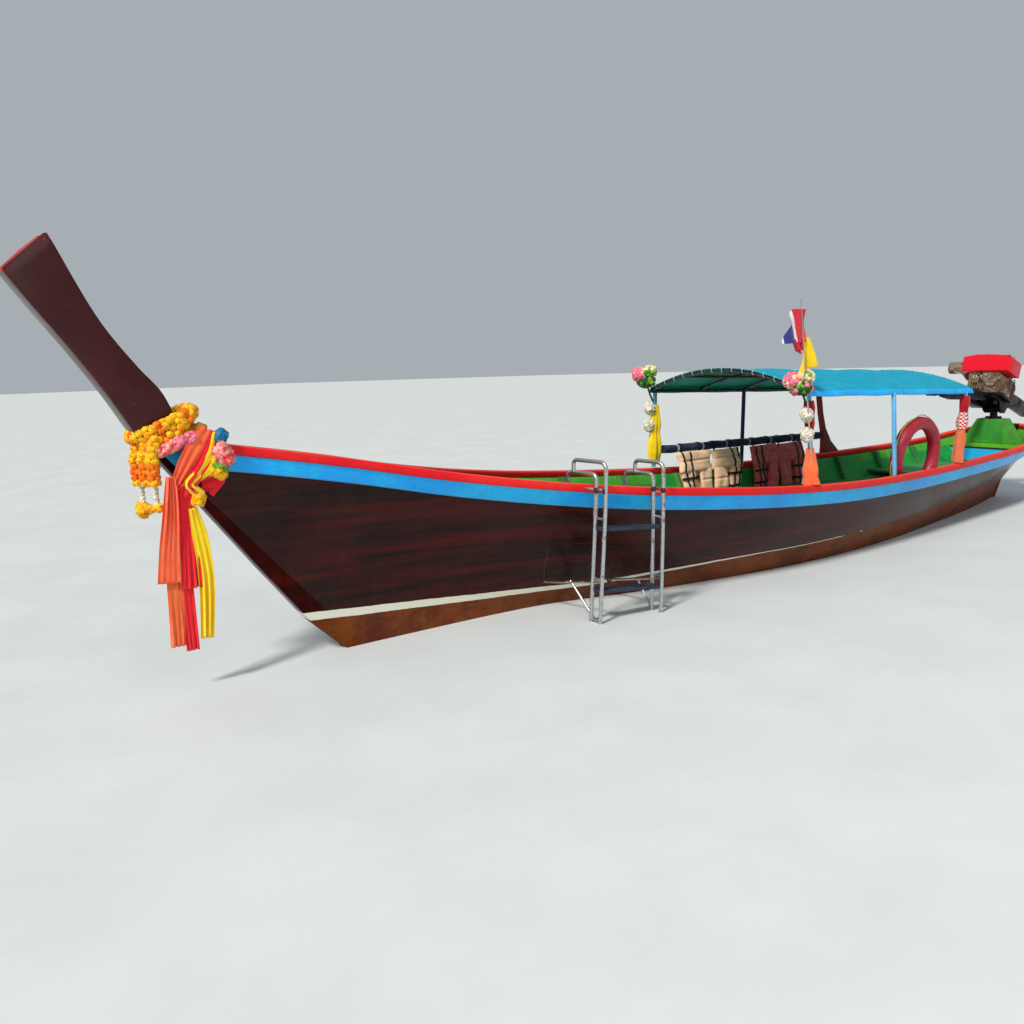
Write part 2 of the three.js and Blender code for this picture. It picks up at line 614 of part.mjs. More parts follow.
LADDER_SIDES.forEach((row) => {
  const [name, x, top, , , outerHook, outerKnee, outerFoot, innerHook, innerKnee, innerFoot] = row;
  const share = (drop) => (drop - LADDER.knee) / (LADDER.length - LADDER.knee);
  const below = (from, to, drop) => from + (to - from) * share(drop);
  const links = [LADDER.knee + 20, 735, LADDER.lastStep].map((drop) => rod(
    [x, below(innerKnee, innerFoot, drop), top - drop],
    [x, below(outerKnee, outerFoot, drop), top - drop], 8, 8, 6));
  const peg = rod([x, innerHook - 110, capTopAt(x) - 22], [x, outerHook - 6, capTopAt(x) - 22], 7, 7, 6);
  const armZ = top - 845;
  const reach = breadthAt(x, armZ) - 12;
  const arm = rod([x, reach, armZ], [x, below(outerKnee, outerFoot, 750), armZ + 95], 8, 8, 6);
  const brace = rod(
    [x, reach + 270, armZ + 55], [x, below(innerKnee, innerFoot, 970), top - 970], 8, 8, 6);
  const side = join(...sideTubes(row, 0), ...links, peg, arm, brace)
    .subtract(capZone).subtract(plankZone);
  piece(`ladder_side_${name}`, largest(side), 0xb9c0c4, 0.25, 0.9);
});
const tubeZone = join(...LADDER_SIDES.flatMap((row) => sideTubes(row, GAP)));
// Columns: name, height at the fore side, at the aft side, y of the inner edge fore and aft, width
[
  ['upper', 597, 556, 664, 702, 86],
  ['middle', 202, 161, 634, 692, 86],
  ['lower', -28, -69, 618, 686, 86],
].forEach(([name, foreZ, aftZ, foreY, aftY, width]) => {
  const tread = skin([[LADDER_SIDES[1][1], aftY, aftZ], [LADDER_SIDES[0][1], foreY, foreZ]].map(
    ([x, y, z]) => [
      new THREE.Vector3(x, y, z), new THREE.Vector3(x, y + width, z),
      new THREE.Vector3(x, y + width, z + 22), new THREE.Vector3(x, y, z + 22),
    ]));
  piece(`ladder_tread_${name}`, largest(tread.subtract(tubeZone)), 0x2a2f36, 0.7);
});

// Cloths, garlands and flowers
const collarLine = [[4800, 0, 1285], [0.5, 0, 0.86]];
const collarProfile = (margin) => [
  [-margin, 0], [-margin, 130 + margin], [30, 165 + margin], [100, 168 + margin],
  [150, 150 + margin], [170 + margin, 125 + margin], [170 + margin, 0],
];
const capEnds = box(4900, 4922, -82, 82, 1255, 1316);
const collar = turned(...collarLine, collarProfile(0), 12)
  .subtract(grownPlateAlongY(PROW, -PROW_HALF, PROW_HALF, 0.5)).subtract(stemZone)
  .subtract(capZone).subtract(hullBody(STRAKE_THICKNESS + 2)).subtract(capEnds);
piece('prow_garland', largest(collar), 0xe0b422, 0.9);
const sash = plateAlongY([
  [4560, 1150], [4640, 1000], [4930, 1000], [4950, 1150], [4930, 1332], [4700, 1332],
], 128, 205, 20).subtract(turned(...collarLine, collarProfile(0.5), 12));
piece('prow_sashes', largest(sash), 0xe2434a, 0.85);
const streamers = plateAlongY([
  [4770, 220], [4880, 200], [4930, 520], [5020, 550], [4915, 999.7], [4690, 999.7],
], 145, 180, 8);
piece('prow_streamers', streamers, 0xf07a4a, 0.85);
const POLE = [[451, 820, 740], [640, 820, 2000]];
const poleZone = rod(...POLE, 6 + GAP, 6 + GAP, 8);
const postLine = (index) => {
  const [, side, footX, footY, topX, topY] = POSTS[index];
  const foot = new THREE.Vector3(footX, side * footY, postFoot(footX));
  const top = new THREE.Vector3(topX, side * topY, postTop(topX));
  return { foot, along: top.clone().sub(foot).normalize() };
};
// Columns: name, post, start along the post, profile of height and radius, colour
[
  ['post_cloth_port_front', 0, 60, [[0, 40], [60, 62], [260, 40], [330, 30], [420, 42], [500, 30]], 0xf58a4a],
  ['post_cloth_port_rear', 2, 120, [[0, 40], [120, 55], [300, 45], [420, 36]], 0xd8604a],
  ['post_cloth_starboard_front', 3, 40, [[0, 38], [120, 48], [330, 34], [440, 42], [500, 28]], 0xe8c73a],
].forEach(([name, post, start, profile, colour]) => {
  const { foot, along } = postLine(post);
  const hole = POST_RADIUS + 0.5;
  const ring = [[profile[0][0], hole], ...profile, [profile[profile.length - 1][0], hole]];
  const origin = foot.clone().addScaledVector(along, start);
  const wrap = turned(origin.toArray(), along.toArray(), [...ring, ring[0]], 16);
  piece(name, wrap.subtract(poleZone), colour, 0.9);
});
// Columns: side, y, height of the flowers
[['port', 767, 1432], ['starboard', -767, 1470]].forEach(([side, y, z]) => {
  const flowers = new THREE.SphereGeometry(1, 10, 7);
  flowers.scale(70, 88, 76);
  flowers.translate(CANOPY.front + 70.5, y, z);
  const stems = rod([467.4, y, 1250], [560, y, z - 20], 10, 10, 8);
  piece(`bouquet_${side}`, join(toSolid(flowers), stems).subtract(poleZone), 0xe78fb0, 0.9);
});
const flagPole = rod(...POLE, 6, 6, 8);
const flag = plateAlongY([[628, 1940], [770, 1925], [790, 1705], [598, 1700]], 817, 823);
const pennant = plateAlongY([[598, 1720], [545, 1700], [455, 1520], [568, 1500]], 817, 823);
piece('flag_pole', join(flagPole, flag, pennant), 0xdfe6ea, 0.7);

// Engine swivel on the pedestal
const swivel = join(
  rod([-3970, 0, 850 + GAP], [-3970, 0, 872], 82, 82, 24),
  rod([-3970, 0, 870], [-3970, 0, 930], 38, 38, 16),
  rod([-3970, -62, 950], [-3970, 62, 950], 32, 32, 20),
).subtract(rod([-3970, -70, 950], [-3970, 70, 950], 13.5, 13.5, 20));
piece('swivel_bracket', swivel, 0x15181c, 0.5, 0.4);

// Engine and tail, built level with the pivot as their origin, then tipped to the rest angle
const engine = new THREE.Group();
engine.position.set(...PIVOT);
engine.rotation.y = -THREE.MathUtils.degToRad(REST_TILT);
boat.add(engine);
const onEngine = (name, solid, colour, roughness, metalness) => piece(
  name, solid, colour, roughness, metalness, engine);

const BED_TOP = 115;
const cheek = plateAlongY([[-60, -28], [0, -44], [60, -28], [130, 86], [-110, 86]], 68, 94);
const bed = join(
  box(-20, 235, -235, 150, 85, BED_TOP),
  box(-20, 235, -60, 94, 60, 90),
  box(-128, 0, -94, -50, 50, 95), box(-128, 0, 50, 94, 50, 95),
  box(-128, -108, -94, 94, 50, 290),
  box(20, 225, -235, -100, 0, 90),
  cheek, mirrored(cheek), rod([0, -90, 0], [0, 90, 0], 13, 13, 20),
);
onEngine('engine_bed', bed, 0x101318, 0.5, 0.4);
const fins = [0, 1, 2, 3].map((k) => box(5, 235, -200 + 26 * k, -190 + 26 * k, 150, 325));
const block = join(
  plateAlongX([
    [-90, BED_TOP + GAP], [110, BED_TOP + GAP], [130, 150], [130, 300], [95, 336], [-90, 336],
  ], -18, 230),
  box(15, 215, -235, -85, 165, 312), ...fins,
  rod([228, 20, CRANK_Z], [252, 20, CRANK_Z], 70, 62, 20),
  rod([228, -150, 240], [246, -150, 240], 38, 34, 16),
  box(225, 252, 80, 122, 250, 300),
  box(225, 245, -75, -40, 150, 230),
);
onEngine('engine_block', block, 0x8a7a66, 0.5, 0.6);
const TANK_BASE = 342;
const tank = join(
  plateAlongX([
    [-330, TANK_BASE], [190, TANK_BASE], [190, 488], [160, 522], [-60, 534], [-190, 534], [-330, 510],
  ], -10, 252, 14),
  rod([110, -120, 525], [110, -120, 552], 28, 26, 16),
);
onEngine('fuel_tank', tank, 0xe0162f, 0.35);
const muffler = join(
  rod([105, -520, 425], [105, -336, 425], 66, 66, 16),
  rod([105, -400, 400], [105, -300, 300], 20, 20, 12),
  rod([105, -300, 300], [105, -236, 280], 20, 20, 12),
).subtract(box(0, 252, -331, 200, TANK_BASE - 1, 540)).subtract(box(0, 250, -235.4, 0, 100, TANK_BASE));
onEngine('muffler', muffler.decompose().sort((a, b) => b.volume() - a.volume())[0], 0xa9a49a, 0.4, 0.7);
const flywheel = turned([-98, 0, CRANK_Z], [1, 0, 0], [
  [0, 0], [0, 128], [8, 138], [52, 138], [60, 128], [60, 96], [45, 88], [45, 40], [79.6, 36], [79.6, 0],
], 20);
onEngine('flywheel', flywheel, 0x3a342e, 0.45, 0.6);
const tiller = join(
  plateAlongY([
    [235 + GAP, 20], [235 + GAP, 112], [420, 72], [960, -112], [1120, -150],
    [1106, -204], [930, -180], [420, -22],
  ], -22, 22),
  rod([1100, -75, -174], [1100, 75, -174], 16, 16, 12),
);
onEngine('tiller', tiller, 0x0d1226, 0.5, 0.3);
const TAIL_START = -128 - GAP;
const TAIL_END = -TAIL_LENGTH;
const tail = join(
  turned([TAIL_START, 0, TAIL_Z], [-1, 0, 0], [
    [0, 0], [0, 98], [14, 98], [16, 78], [560, 78], [640, 46], [760, 46], [765, 31],
    [-TAIL_END - 130, 31], [-TAIL_END - 125, 42], [-TAIL_END + TAIL_START, 42], [-TAIL_END + TAIL_START, 0],
  ], 18),
  plateAlongY([
    [-2640, 165], [-2700, 165], [-3060, 42], [-3340, 16], [-3345, 2], [-3050, 16], [-2990, 28],
  ], -9, 9),
  box(-3052, -3010, -9, 9, 25, 155),
);
onEngine('tail_tube', tail, 0x14171b, 0.45, 0.5);

// Propeller: two twisted blades on a hub
const HUB_LENGTH = 105;
const blade = (turn) => {
  const rings = [0, 1, 2, 3, 4].map((k) => {
    const radius = 20 + (PROP_RADIUS - 20) * (k / 4);
    const chord = [52, 96, 118, 98, 34][k];
    const pitch = THREE.MathUtils.degToRad(62 - 38 * (k / 4));
    return [[-1, -1], [0, -1.6], [1, -1], [1, 1], [0, 1.6], [-1, 1]].map(([c, t]) => {
      const along = (c * chord) / 2;
      const thick = t * 3;
      const x = along * Math.sin(pitch) + thick * Math.cos(pitch);
      const y = along * Math.cos(pitch) - thick * Math.sin(pitch);
      return new THREE.Vector3(radius, x, y);
    });
  });
  return skin(rings).transform(new THREE.Matrix4().makeBasis(
    new THREE.Vector3(0, Math.sin(turn), Math.cos(turn)), new THREE.Vector3(1, 0, 0),
    new THREE.Vector3(0, Math.cos(turn), -Math.sin(turn))).elements);
};
const propeller = join(
  turned([0, 0, 0], [-1, 0, 0], [
    [-HUB_LENGTH / 2, 0], [-HUB_LENGTH / 2, 30], [HUB_LENGTH / 2 - 20, 26], [HUB_LENGTH / 2, 12],
    [HUB_LENGTH / 2, 0],
  ], 16),
  blade(0.5), blade(0.5 + Math.PI),
).translate([TAIL_END - 0.5 - HUB_LENGTH / 2, 0, TAIL_Z]);
onEngine('propeller', propeller, 0xc9a24a, 0.35, 0.9);

export default boat;
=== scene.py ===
"""The finishes and fine shapes of a wooden longtail boat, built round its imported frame.

Metres: X forward, Y to port, Z up, with the still water at Z = 0.
"""

import json
import math

import bmesh
import bpy
import numpy as np
from mathutils import Matrix, Vector

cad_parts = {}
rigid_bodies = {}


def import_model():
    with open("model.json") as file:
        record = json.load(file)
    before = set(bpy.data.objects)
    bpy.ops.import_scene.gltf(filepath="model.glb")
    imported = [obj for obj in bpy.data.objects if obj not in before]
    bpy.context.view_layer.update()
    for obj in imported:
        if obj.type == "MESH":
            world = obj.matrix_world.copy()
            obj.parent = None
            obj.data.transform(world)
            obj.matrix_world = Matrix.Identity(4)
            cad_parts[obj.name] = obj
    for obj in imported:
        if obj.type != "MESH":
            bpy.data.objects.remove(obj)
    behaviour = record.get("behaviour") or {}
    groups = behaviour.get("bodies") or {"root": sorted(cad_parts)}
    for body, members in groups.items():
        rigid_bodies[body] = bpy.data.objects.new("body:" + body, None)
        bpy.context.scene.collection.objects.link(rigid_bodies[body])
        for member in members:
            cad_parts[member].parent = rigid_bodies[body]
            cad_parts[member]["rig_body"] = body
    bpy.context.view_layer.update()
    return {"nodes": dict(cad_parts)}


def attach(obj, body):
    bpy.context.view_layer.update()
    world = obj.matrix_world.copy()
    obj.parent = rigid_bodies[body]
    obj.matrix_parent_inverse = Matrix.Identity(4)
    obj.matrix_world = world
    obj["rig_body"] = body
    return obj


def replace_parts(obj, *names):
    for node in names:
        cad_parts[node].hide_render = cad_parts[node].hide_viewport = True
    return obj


bl_info = {
    "name": "Longtail boat",
    "version": (1, 0, 0),
    "blender": (4, 5, 0),
    "location": "View3D > Sidebar > Boat",
    "description": "Builds the finishes and fine shapes of a wooden longtail boat round its frame",
    "category": "Object",
}

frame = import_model()
GROUPS, PAINTS = {}, {}


# Numbers of the hull, as the frame's source has them
# Columns: x of the gunwale, half breadth, height of the cap, x of the foot, z of the foot, fullness
STATIONS = np.array([
    (-4.520, 0.080, 0.758, -3.720, -0.200, 1.40),
    (-4.430, 0.205, 0.752, -3.680, -0.212, 1.40),
    (-4.300, 0.325, 0.738, -3.600, -0.222, 1.35),
    (-4.100, 0.440, 0.712, -3.450, -0.232, 1.20),
    (-3.800, 0.540, 0.668, -3.200, -0.240, 1.00),
    (-3.400, 0.610, 0.637, -2.950, -0.248, 0.86),
    (-3.100, 0.640, 0.626, -2.750, -0.254, 0.75),
    (-2.100, 0.722, 0.612, -2.000, -0.270, 0.52),
    (-1.100, 0.800, 0.614, -1.100, -0.280, 0.36),
    (-0.100, 0.845, 0.640, -0.100, -0.280, 0.34),
    (0.900, 0.835, 0.706, 0.800, -0.280, 0.47),
    (1.900, 0.712, 0.800, 1.650, -0.275, 0.70),
    (2.400, 0.606, 0.862, 2.050, -0.272, 1.00),
    (2.900, 0.480, 0.937, 2.400, -0.270, 1.50),
    (3.400, 0.351, 1.028, 2.750, -0.265, 1.80),
    (3.900, 0.235, 1.135, 3.050, -0.260, 1.90),
    (4.300, 0.162, 1.212, 3.280, -0.250, 1.90),
    (4.700, 0.103, 1.282, 3.480, -0.235, 1.80),
    (4.920, 0.080, 1.313, 3.600, -0.220, 1.60),
])
STEPS = len(STATIONS) - 1
CORE = 0.0453
FACE_START = 0.0465
PLANK = 0.030
CAP_WIDTH = 0.070
CAP_HEIGHT = 0.050
STRAKE_INSET = 0.045
STRAKE_THICKNESS = 0.037
STRAKE_HEIGHT = 0.105
CAP_GAP = 0.0003
ROUNDING = 0.012
FINE = 217
DECK_TOP = 0.405
PROW_FOOT = 1.3365
# Columns: x and z along the white line that shows where the paint below the water starts
WATERLINE_STRIPE = np.array([
    (-4.40, 0.40), (-3.20, 0.30), (-2.20, 0.235), (-1.20, 0.20), (-0.40, 0.18), (0.07, 0.175),
    (0.94, 0.172), (1.62, 0.151), (2.21, 0.122), (2.80, 0.139), (3.18, 0.162), (3.53, 0.188),
    (3.87, 0.213), (4.40, 0.26),
])
CANOPY_FRONT, CANOPY_REAR, CANOPY_HALF, CANOPY_RISE = 0.500, -1.960, 0.765, 0.165
CANOPY_EDGE_FRONT, CANOPY_EDGE_REAR = 1.367, 1.272
CANOPY_BOWS = (0.475, -0.130, -0.735, -1.345, -1.935)
CANOPY_SAG, CANOPY_HEM = 0.013, 0.044
RAIL_RADIUS, BOW_RADIUS, CORD_RADIUS = 0.015, 0.011, 0.0028
PIVOT = np.array([-3.970, 0.0, 0.950])
REST_TILT = math.radians(20)
# Columns: x and y at the foot, x and y at the rail, of the straight posts
POSTS = {
    "port_front": (0.440, 0.800, 0.440, 0.765),
    "port_middle": (-0.715, 0.785, -0.690, 0.765),
    "port_rear": (-1.880, 0.700, -1.840, 0.765),
    "starboard_front": (0.440, -0.785, 0.440, -0.765),
    "starboard_middle": (-0.740, -0.785, -0.740, -0.765),
}
PORT_MIRROR = np.array([1.0, -1.0, 1.0])


# Surfaces
class Surface:
    """Vertices, quads or triangles, a UV in metres for each vertex, and a material number."""

    def __init__(self, points, faces, uv=None, slot=0, edge=None, stripe=None):
        self.points = np.asarray(points, float).reshape(-1, 3)
        self.faces = [np.asarray(f, int) for f in (faces if isinstance(faces, list) else [faces])]
        count = len(self.points)
        self.uv = np.zeros((count, 2)) if uv is None else np.asarray(uv, float).reshape(-1, 2)
        self.slot = slot
        self.edge = np.zeros(count) if edge is None else np.asarray(edge, float).ravel()
        self.stripe = np.zeros(count) if stripe is None else np.asarray(stripe, float).ravel()

    def flipped(self):
        """The same surface with its faces turned over."""
        return Surface(self.points, [f[:, ::-1] for f in self.faces], self.uv, self.slot,
                       self.edge, self.stripe)

    def mirrored(self):
        """The surface on the other side of the centre plane, still facing outwards."""
        turned = self.flipped()
        turned.points = turned.points * PORT_MIRROR
        return turned


def grid_faces(rows, columns, wrap_rows=False, wrap_columns=False):
    """Quads of a grid of points laid out row by row; a wrapped side joins its last line to its first."""
    r = np.arange(rows if wrap_rows else rows - 1)
    c = np.arange(columns if wrap_columns else columns - 1)
    a, b = np.meshgrid(r, c, indexing="ij")
    a, b = a.ravel(), b.ravel()
    a1, b1 = (a + 1) % rows, (b + 1) % columns
    return np.stack([a * columns + b, a1 * columns + b, a1 * columns + b1, a * columns + b1], 1)


def grid(points, slot=0, wrap_rows=False, wrap_columns=False, uv=None, edge=None, stripe=None):
    """A surface through a grid of points; the UV is the length along each side unless it is given."""
    points = np.asarray(points, float)
    rows, columns = points.shape[:2]
    if uv is None:
        step_r = np.linalg.norm(np.diff(points, axis=0), axis=2).mean(1)
        step_c = np.linalg.norm(np.diff(points, axis=1), axis=2).mean(0)
        u, v = np.meshgrid(np.r_[0, np.cumsum(step_c)], np.r_[0, np.cumsum(step_r)])
        uv = np.stack([u, v], 2)
    made = Surface(points, grid_faces(rows, columns, wrap_rows, wrap_columns), uv, slot, edge, stripe)
    made.shape = (rows, columns, 3)
    return made


def fan(ring, centre, slot=0):
    """Triangles from a closed ring of points to one point in its middle."""
    ring = np.asarray(ring, float)
    n = len(ring)
    i = np.arange(n)
    return Surface(np.vstack([ring, centre]), np.stack([i, (i + 1) % n, np.full(n, n)], 1), None, slot)


def unit(vectors):
    """Vectors brought to the length 1."""
    return vectors / np.linalg.norm(vectors, axis=-1, keepdims=True)


def run(path):
    """How far along a path each of its points lies."""
    return np.r_[0, np.cumsum(np.linalg.norm(np.diff(path, axis=0), axis=1))]


def joined(*parts):
    """Numbers or arrays spread to one shape and set side by side on a last axis."""
    return np.stack(np.broadcast_arrays(*parts), -1)


def frames_along(path):
    """Two directions square to the path at each point, turning as little as the path allows."""
    path = np.asarray(path, float)
    tangent = unit(np.gradient(path, axis=0))
    start = np.array([0, 0, 1.0]) if abs(tangent[0, 2]) < 0.9 else np.array([0, 1.0, 0])
    side = np.cross(start, tangent[0])
    sides = [side / np.linalg.norm(side)]
    for t in tangent[1:]:
        s = sides[-1] - t * np.dot(sides[-1], t)
        sides.append(s / np.linalg.norm(s))
    sides = np.array(sides)
    return sides, np.cross(tangent, sides)


def swept(path, profile, slot=0, closed=False, capped=True, scale=None, twist=None):
    """A closed profile (across, up) carried along a path, with its size and turn at each point."""
    path = np.asarray(path, float)
    profile = np.asarray(profile, float)
    across, up = frames_along(path)
    if closed:
        drift = np.arctan2(np.dot(across[-1], up[0]), np.dot(across[-1], across[0]))
        twist = (0 if twist is None else twist) - drift * np.linspace(0, 1, len(path))
    turn = np.zeros(len(path)) if twist is None else np.broadcast_to(twist, len(path))
    size = np.ones(len(path)) if scale is None else np.asarray(scale, float)
    c, s = np.cos(turn)[:, None], np.sin(turn)[:, None]
    a = (profile[:, 0] * c - profile[:, 1] * s) * size[:, None]
    b = (profile[:, 0] * s + profile[:, 1] * c) * size[:, None]
    points = path[:, None] + a[:, :, None] * across[:, None] + b[:, :, None] * up[:, None]
    if closed:
        points = points[:-1]
    made = [grid(points, slot, wrap_rows=closed, wrap_columns=True)]
    if capped and not closed:
        made.append(fan(points[0][::-1], points[0].mean(0), slot).flipped())
        made.append(fan(points[-1], points[-1].mean(0), slot).flipped())
    flip = np.sum(profile[:, 0] * np.roll(profile[:, 1], -1) - np.roll(profile[:, 0], -1) * profile[:, 1]) < 0
    return [m.flipped() for m in made] if flip else made


def circle(radius, sides=12, start=0.0):
    """A round profile."""
    a = start + np.arange(sides) * 2 * math.pi / sides
    return np.stack([np.cos(a), np.sin(a)], 1) * radius


def tube(path, radius, sides=12, slot=0, closed=False, scale=None):
    """A round tube along a path."""
    return swept(path, circle(radius, sides), slot, closed, True, scale)


def rounded_route(corners, radius, count=6):
    """The points of a route whose corners are rounded by arcs of a parabola."""
    corners = np.asarray(corners, float)
    route = [corners[0]]
    for before, at, after in zip(corners[:-2], corners[1:-1], corners[2:]):
        reach = min(radius, np.linalg.norm(before - at) * 0.49, np.linalg.norm(after - at) * 0.49)
        a = at + (before - at) / np.linalg.norm(before - at) * reach
        b = at + (after - at) / np.linalg.norm(after - at) * reach
        t = np.linspace(0, 1, count)[:, None]
        route.extend((1 - t) ** 2 * a + 2 * t * (1 - t) * at + t * t * b)
    route.append(corners[-1])
    return np.array(route)


def turned(axis_from, axis_to, profile, sides=24, slot=0):
    """A profile (distance along, radius) turned about the line between two points."""
    a, b = np.asarray(axis_from, float), np.asarray(axis_to, float)
    along = (b - a) / np.linalg.norm(b - a)
    side = np.cross(along, [0, 0, 1.0] if abs(along[2]) < 0.9 else [0, 1.0, 0])
    side /= np.linalg.norm(side)
    up = np.cross(along, side)
    profile = np.asarray(profile, float)
    angle = np.arange(sides) * 2 * math.pi / sides
    ring = np.cos(angle)[:, None] * side + np.sin(angle)[:, None] * up
    points = a + profile[:, :1, None] * along + profile[:, 1:, None] * ring
    made = [grid(points, slot, wrap_columns=True)]
    if profile[0, 1] > 1e-6:
        made.append(fan(points[0], points[0].mean(0), slot))
    if profile[-1, 1] > 1e-6:
        made.append(fan(points[-1], points[-1].mean(0), slot).flipped())
    return made


def through(points, t):
    """A centripetal curve through rows of numbers, at t from 0 to 1 or at a number of even steps.

    Each span is a cubic whose end slopes come from the neighbours, spaced by the square root of their
    distance."""
    points = np.asarray(points, float)
    p = np.vstack([2 * points[0] - points[1], points, 2 * points[-1] - points[-2]])
    t = np.linspace(0, 1, t) if isinstance(t, int) else np.asarray(t, float)
    s = np.clip(t, 0, 1) * (len(points) - 1)
    i = np.minimum(s.astype(int), len(points) - 2)
    w = (s - i)[:, None]
    p0, p1, p2, p3 = p[i], p[i + 1], p[i + 2], p[i + 3]
    d0, d1, d2 = (np.sqrt(np.linalg.norm(b - a, axis=1, keepdims=True))
                  for a, b in ((p0, p1), (p1, p2), (p2, p3)))
    t1 = ((p1 - p0) / d0 - (p2 - p0) / (d0 + d1) + (p2 - p1) / d1) * d1
    t2 = ((p2 - p1) / d1 - (p3 - p1) / (d1 + d2) + (p3 - p2) / d2) * d1
    return (p1 + t1 * w + (-3 * p1 + 3 * p2 - 2 * t1 - t2) * w ** 2
            + (2 * p1 - 2 * p2 + t1 + t2) * w ** 3)


def rough(points, scale, seed=0):
    """A smooth bumpy number from -1 to 1 for each point: five sine waves in set directions."""
    rng = np.random.default_rng(seed)
    ways = rng.normal(size=(5, 3))
    ways *= scale * rng.uniform(0.7, 1.6, (5, 1)) / np.linalg.norm(ways, axis=1, keepdims=True)
    return np.sin(np.asarray(points) @ ways.T + rng.uniform(0, 6.3, 5)).mean(-1) * 1.8


# The hull's surface
def hull_station(i):
    """Edge point, outward direction in plan, foot and fullness of the hull at station numbers i."""
    t = np.clip(np.asarray(i, float) / STEPS, 0, 1)
    edge = through(STATIONS[:, :3], t)
    ahead = through(STATIONS[:, :3], np.minimum(t + 0.004, 1))
    behind = through(STATIONS[:, :3], np.maximum(t - 0.004, 0))
    out = np.stack([behind[:, 1] - ahead[:, 1], ahead[:, 0] - behind[:, 0]], 1)
    out = unit(out)
    foot = through(STATIONS[:, [3, 5, 4]], t)
    return edge, out, foot


def gunwale(i, outwards, rise):
    """Points of the gunwale's upper outer edge, moved outwards in plan and raised."""
    edge, out, _ = hull_station(i)
    outwards = np.broadcast_to(outwards, len(edge))
    return np.stack([edge[:, 0] + out[:, 0] * outwards, edge[:, 1] + out[:, 1] * outwards,
                     edge[:, 2] + rise], 1)



def cap_height(x):
    """Height of the gunwale's top at a place along the hull."""
    edge, _, _ = hull_station(np.linspace(0, STEPS, 400))
    return float(np.interp(x, edge[:, 0], edge[:, 2]))

def hull_face(i, height, outwards=0.0):
    """Outer face of the planking from its foot (0) to its top edge (1).

    The half breadth grows with the height above the foot to the power of the fullness."""
    i, height = np.broadcast_arrays(np.asarray(i, float), np.asarray(height, float))
    shape = i.shape
    edge, out, foot = hull_station(i.ravel())
    h = height.ravel()
    top = np.stack([edge[:, 0] - out[:, 0] * STRAKE_INSET, edge[:, 1] - out[:, 1] * STRAKE_INSET,
                    edge[:, 2] - CAP_HEIGHT - CAP_GAP], 1)
    spread = np.maximum(top[:, 1] - FACE_START, 0.002)
    return np.stack([
        foot[:, 0] + (top[:, 0] - foot[:, 0]) * h + out[:, 0] * outwards,
        FACE_START + spread * h ** foot[:, 1] + out[:, 1] * outwards,
        foot[:, 2] + (top[:, 2] - foot[:, 2]) * h], 1).reshape(*shape, 3)


def hull_sunk(i, height, depth):
    """The same face sunk square to itself by a depth."""
    i, height = np.broadcast_arrays(np.asarray(i, float), np.asarray(height, float))
    low = np.maximum(height - 0.02, 0.004)
    up = hull_face(i, np.minimum(height + 0.02, 1)) - hull_face(i, low)
    along = hull_face(np.minimum(i + 0.15, STEPS), height) - hull_face(np.maximum(i - 0.15, 0), height)
    inwards = np.cross(up, along)
    inwards = unit(inwards)
    inwards *= -np.sign(inwards[..., 1:2])
    return hull_face(i, height) + inwards * depth


def hull_breadth(x, z):
    """Half breadth of the planking at a place along the hull and a height."""
    i = np.linspace(0, STEPS, 721)
    edge, out, foot = hull_station(i)
    top_x, top_z = edge[:, 0] - out[:, 0] * STRAKE_INSET, edge[:, 2] - CAP_HEIGHT
    h = np.clip((z - foot[:, 2]) / (top_z - foot[:, 2]), 0, 1)
    at = foot[:, 0] + (top_x - foot[:, 0]) * h
    return float(np.interp(x, at, hull_face(i, h)[:, 1]))


# Making objects
def make_piece(name, surfaces, paints, slot=None, nodes=(), body="hull", smooth=35.0):
    """One object of several surfaces, which stands for frame nodes and takes the given finishes.

    Numpy arrays go into the mesh in whole, with a UV for each corner."""
    points, uvs, edges, stripes, corners, starts, slots = [], [], [], [], [], [], []
    base = start = 0
    for s in surfaces:
        points.append(s.points)
        edges.append(s.edge)
        stripes.append(s.stripe)
        for faces in s.faces:
            corners.append((faces + base).ravel())
            uvs.append(s.uv[faces.ravel()])
            starts.append(start + np.arange(len(faces)) * faces.shape[1])
            slots.append(np.full(len(faces), s.slot))
            start += faces.size
        base += len(s.points)
    points, corners = np.vstack(points), np.concatenate(corners)
    mesh = bpy.data.meshes.new(name)
    mesh.vertices.add(len(points))
    mesh.vertices.foreach_set("co", points.astype(np.float32).ravel())
    mesh.loops.add(len(corners))
    mesh.loops.foreach_set("vertex_index", corners.astype(np.int32))
    mesh.polygons.add(sum(len(s) for s in starts))
    mesh.polygons.foreach_set("loop_start", np.concatenate(starts).astype(np.int32))
    mesh.update(calc_edges=True)
    mesh.polygons.foreach_set("material_index", np.concatenate(slots).astype(np.int32))
    layer = mesh.uv_layers.new(name="cloth")
    layer.data.foreach_set("uv", np.vstack(uvs).astype(np.float32).ravel())
    for key, values in (("edge", np.concatenate(edges)), ("stripe", np.concatenate(stripes))):
        if np.any(values):
            mesh.attributes.new(key, "FLOAT", "POINT").data.foreach_set("value", values.astype(np.float32))
    mesh.validate()
    weld(mesh, smooth)
    made = place(name, mesh, paints, body)
    if nodes:
        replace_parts(made, *nodes)
    return made if slot else made


def weld(mesh, smooth):
    """Points that lie on each other become one, faces turn outwards, and those that meet flatter than an
    angle shade smoothly."""
    work = bmesh.new()
    work.from_mesh(mesh)
    bmesh.ops.remove_doubles(work, verts=work.verts, dist=2e-5)
    bmesh.ops.recalc_face_normals(work, faces=work.faces)
    work.to_mesh(mesh)
    work.free()
    mesh.shade_smooth()
    mesh.set_sharp_from_angle(angle=math.radians(smooth))


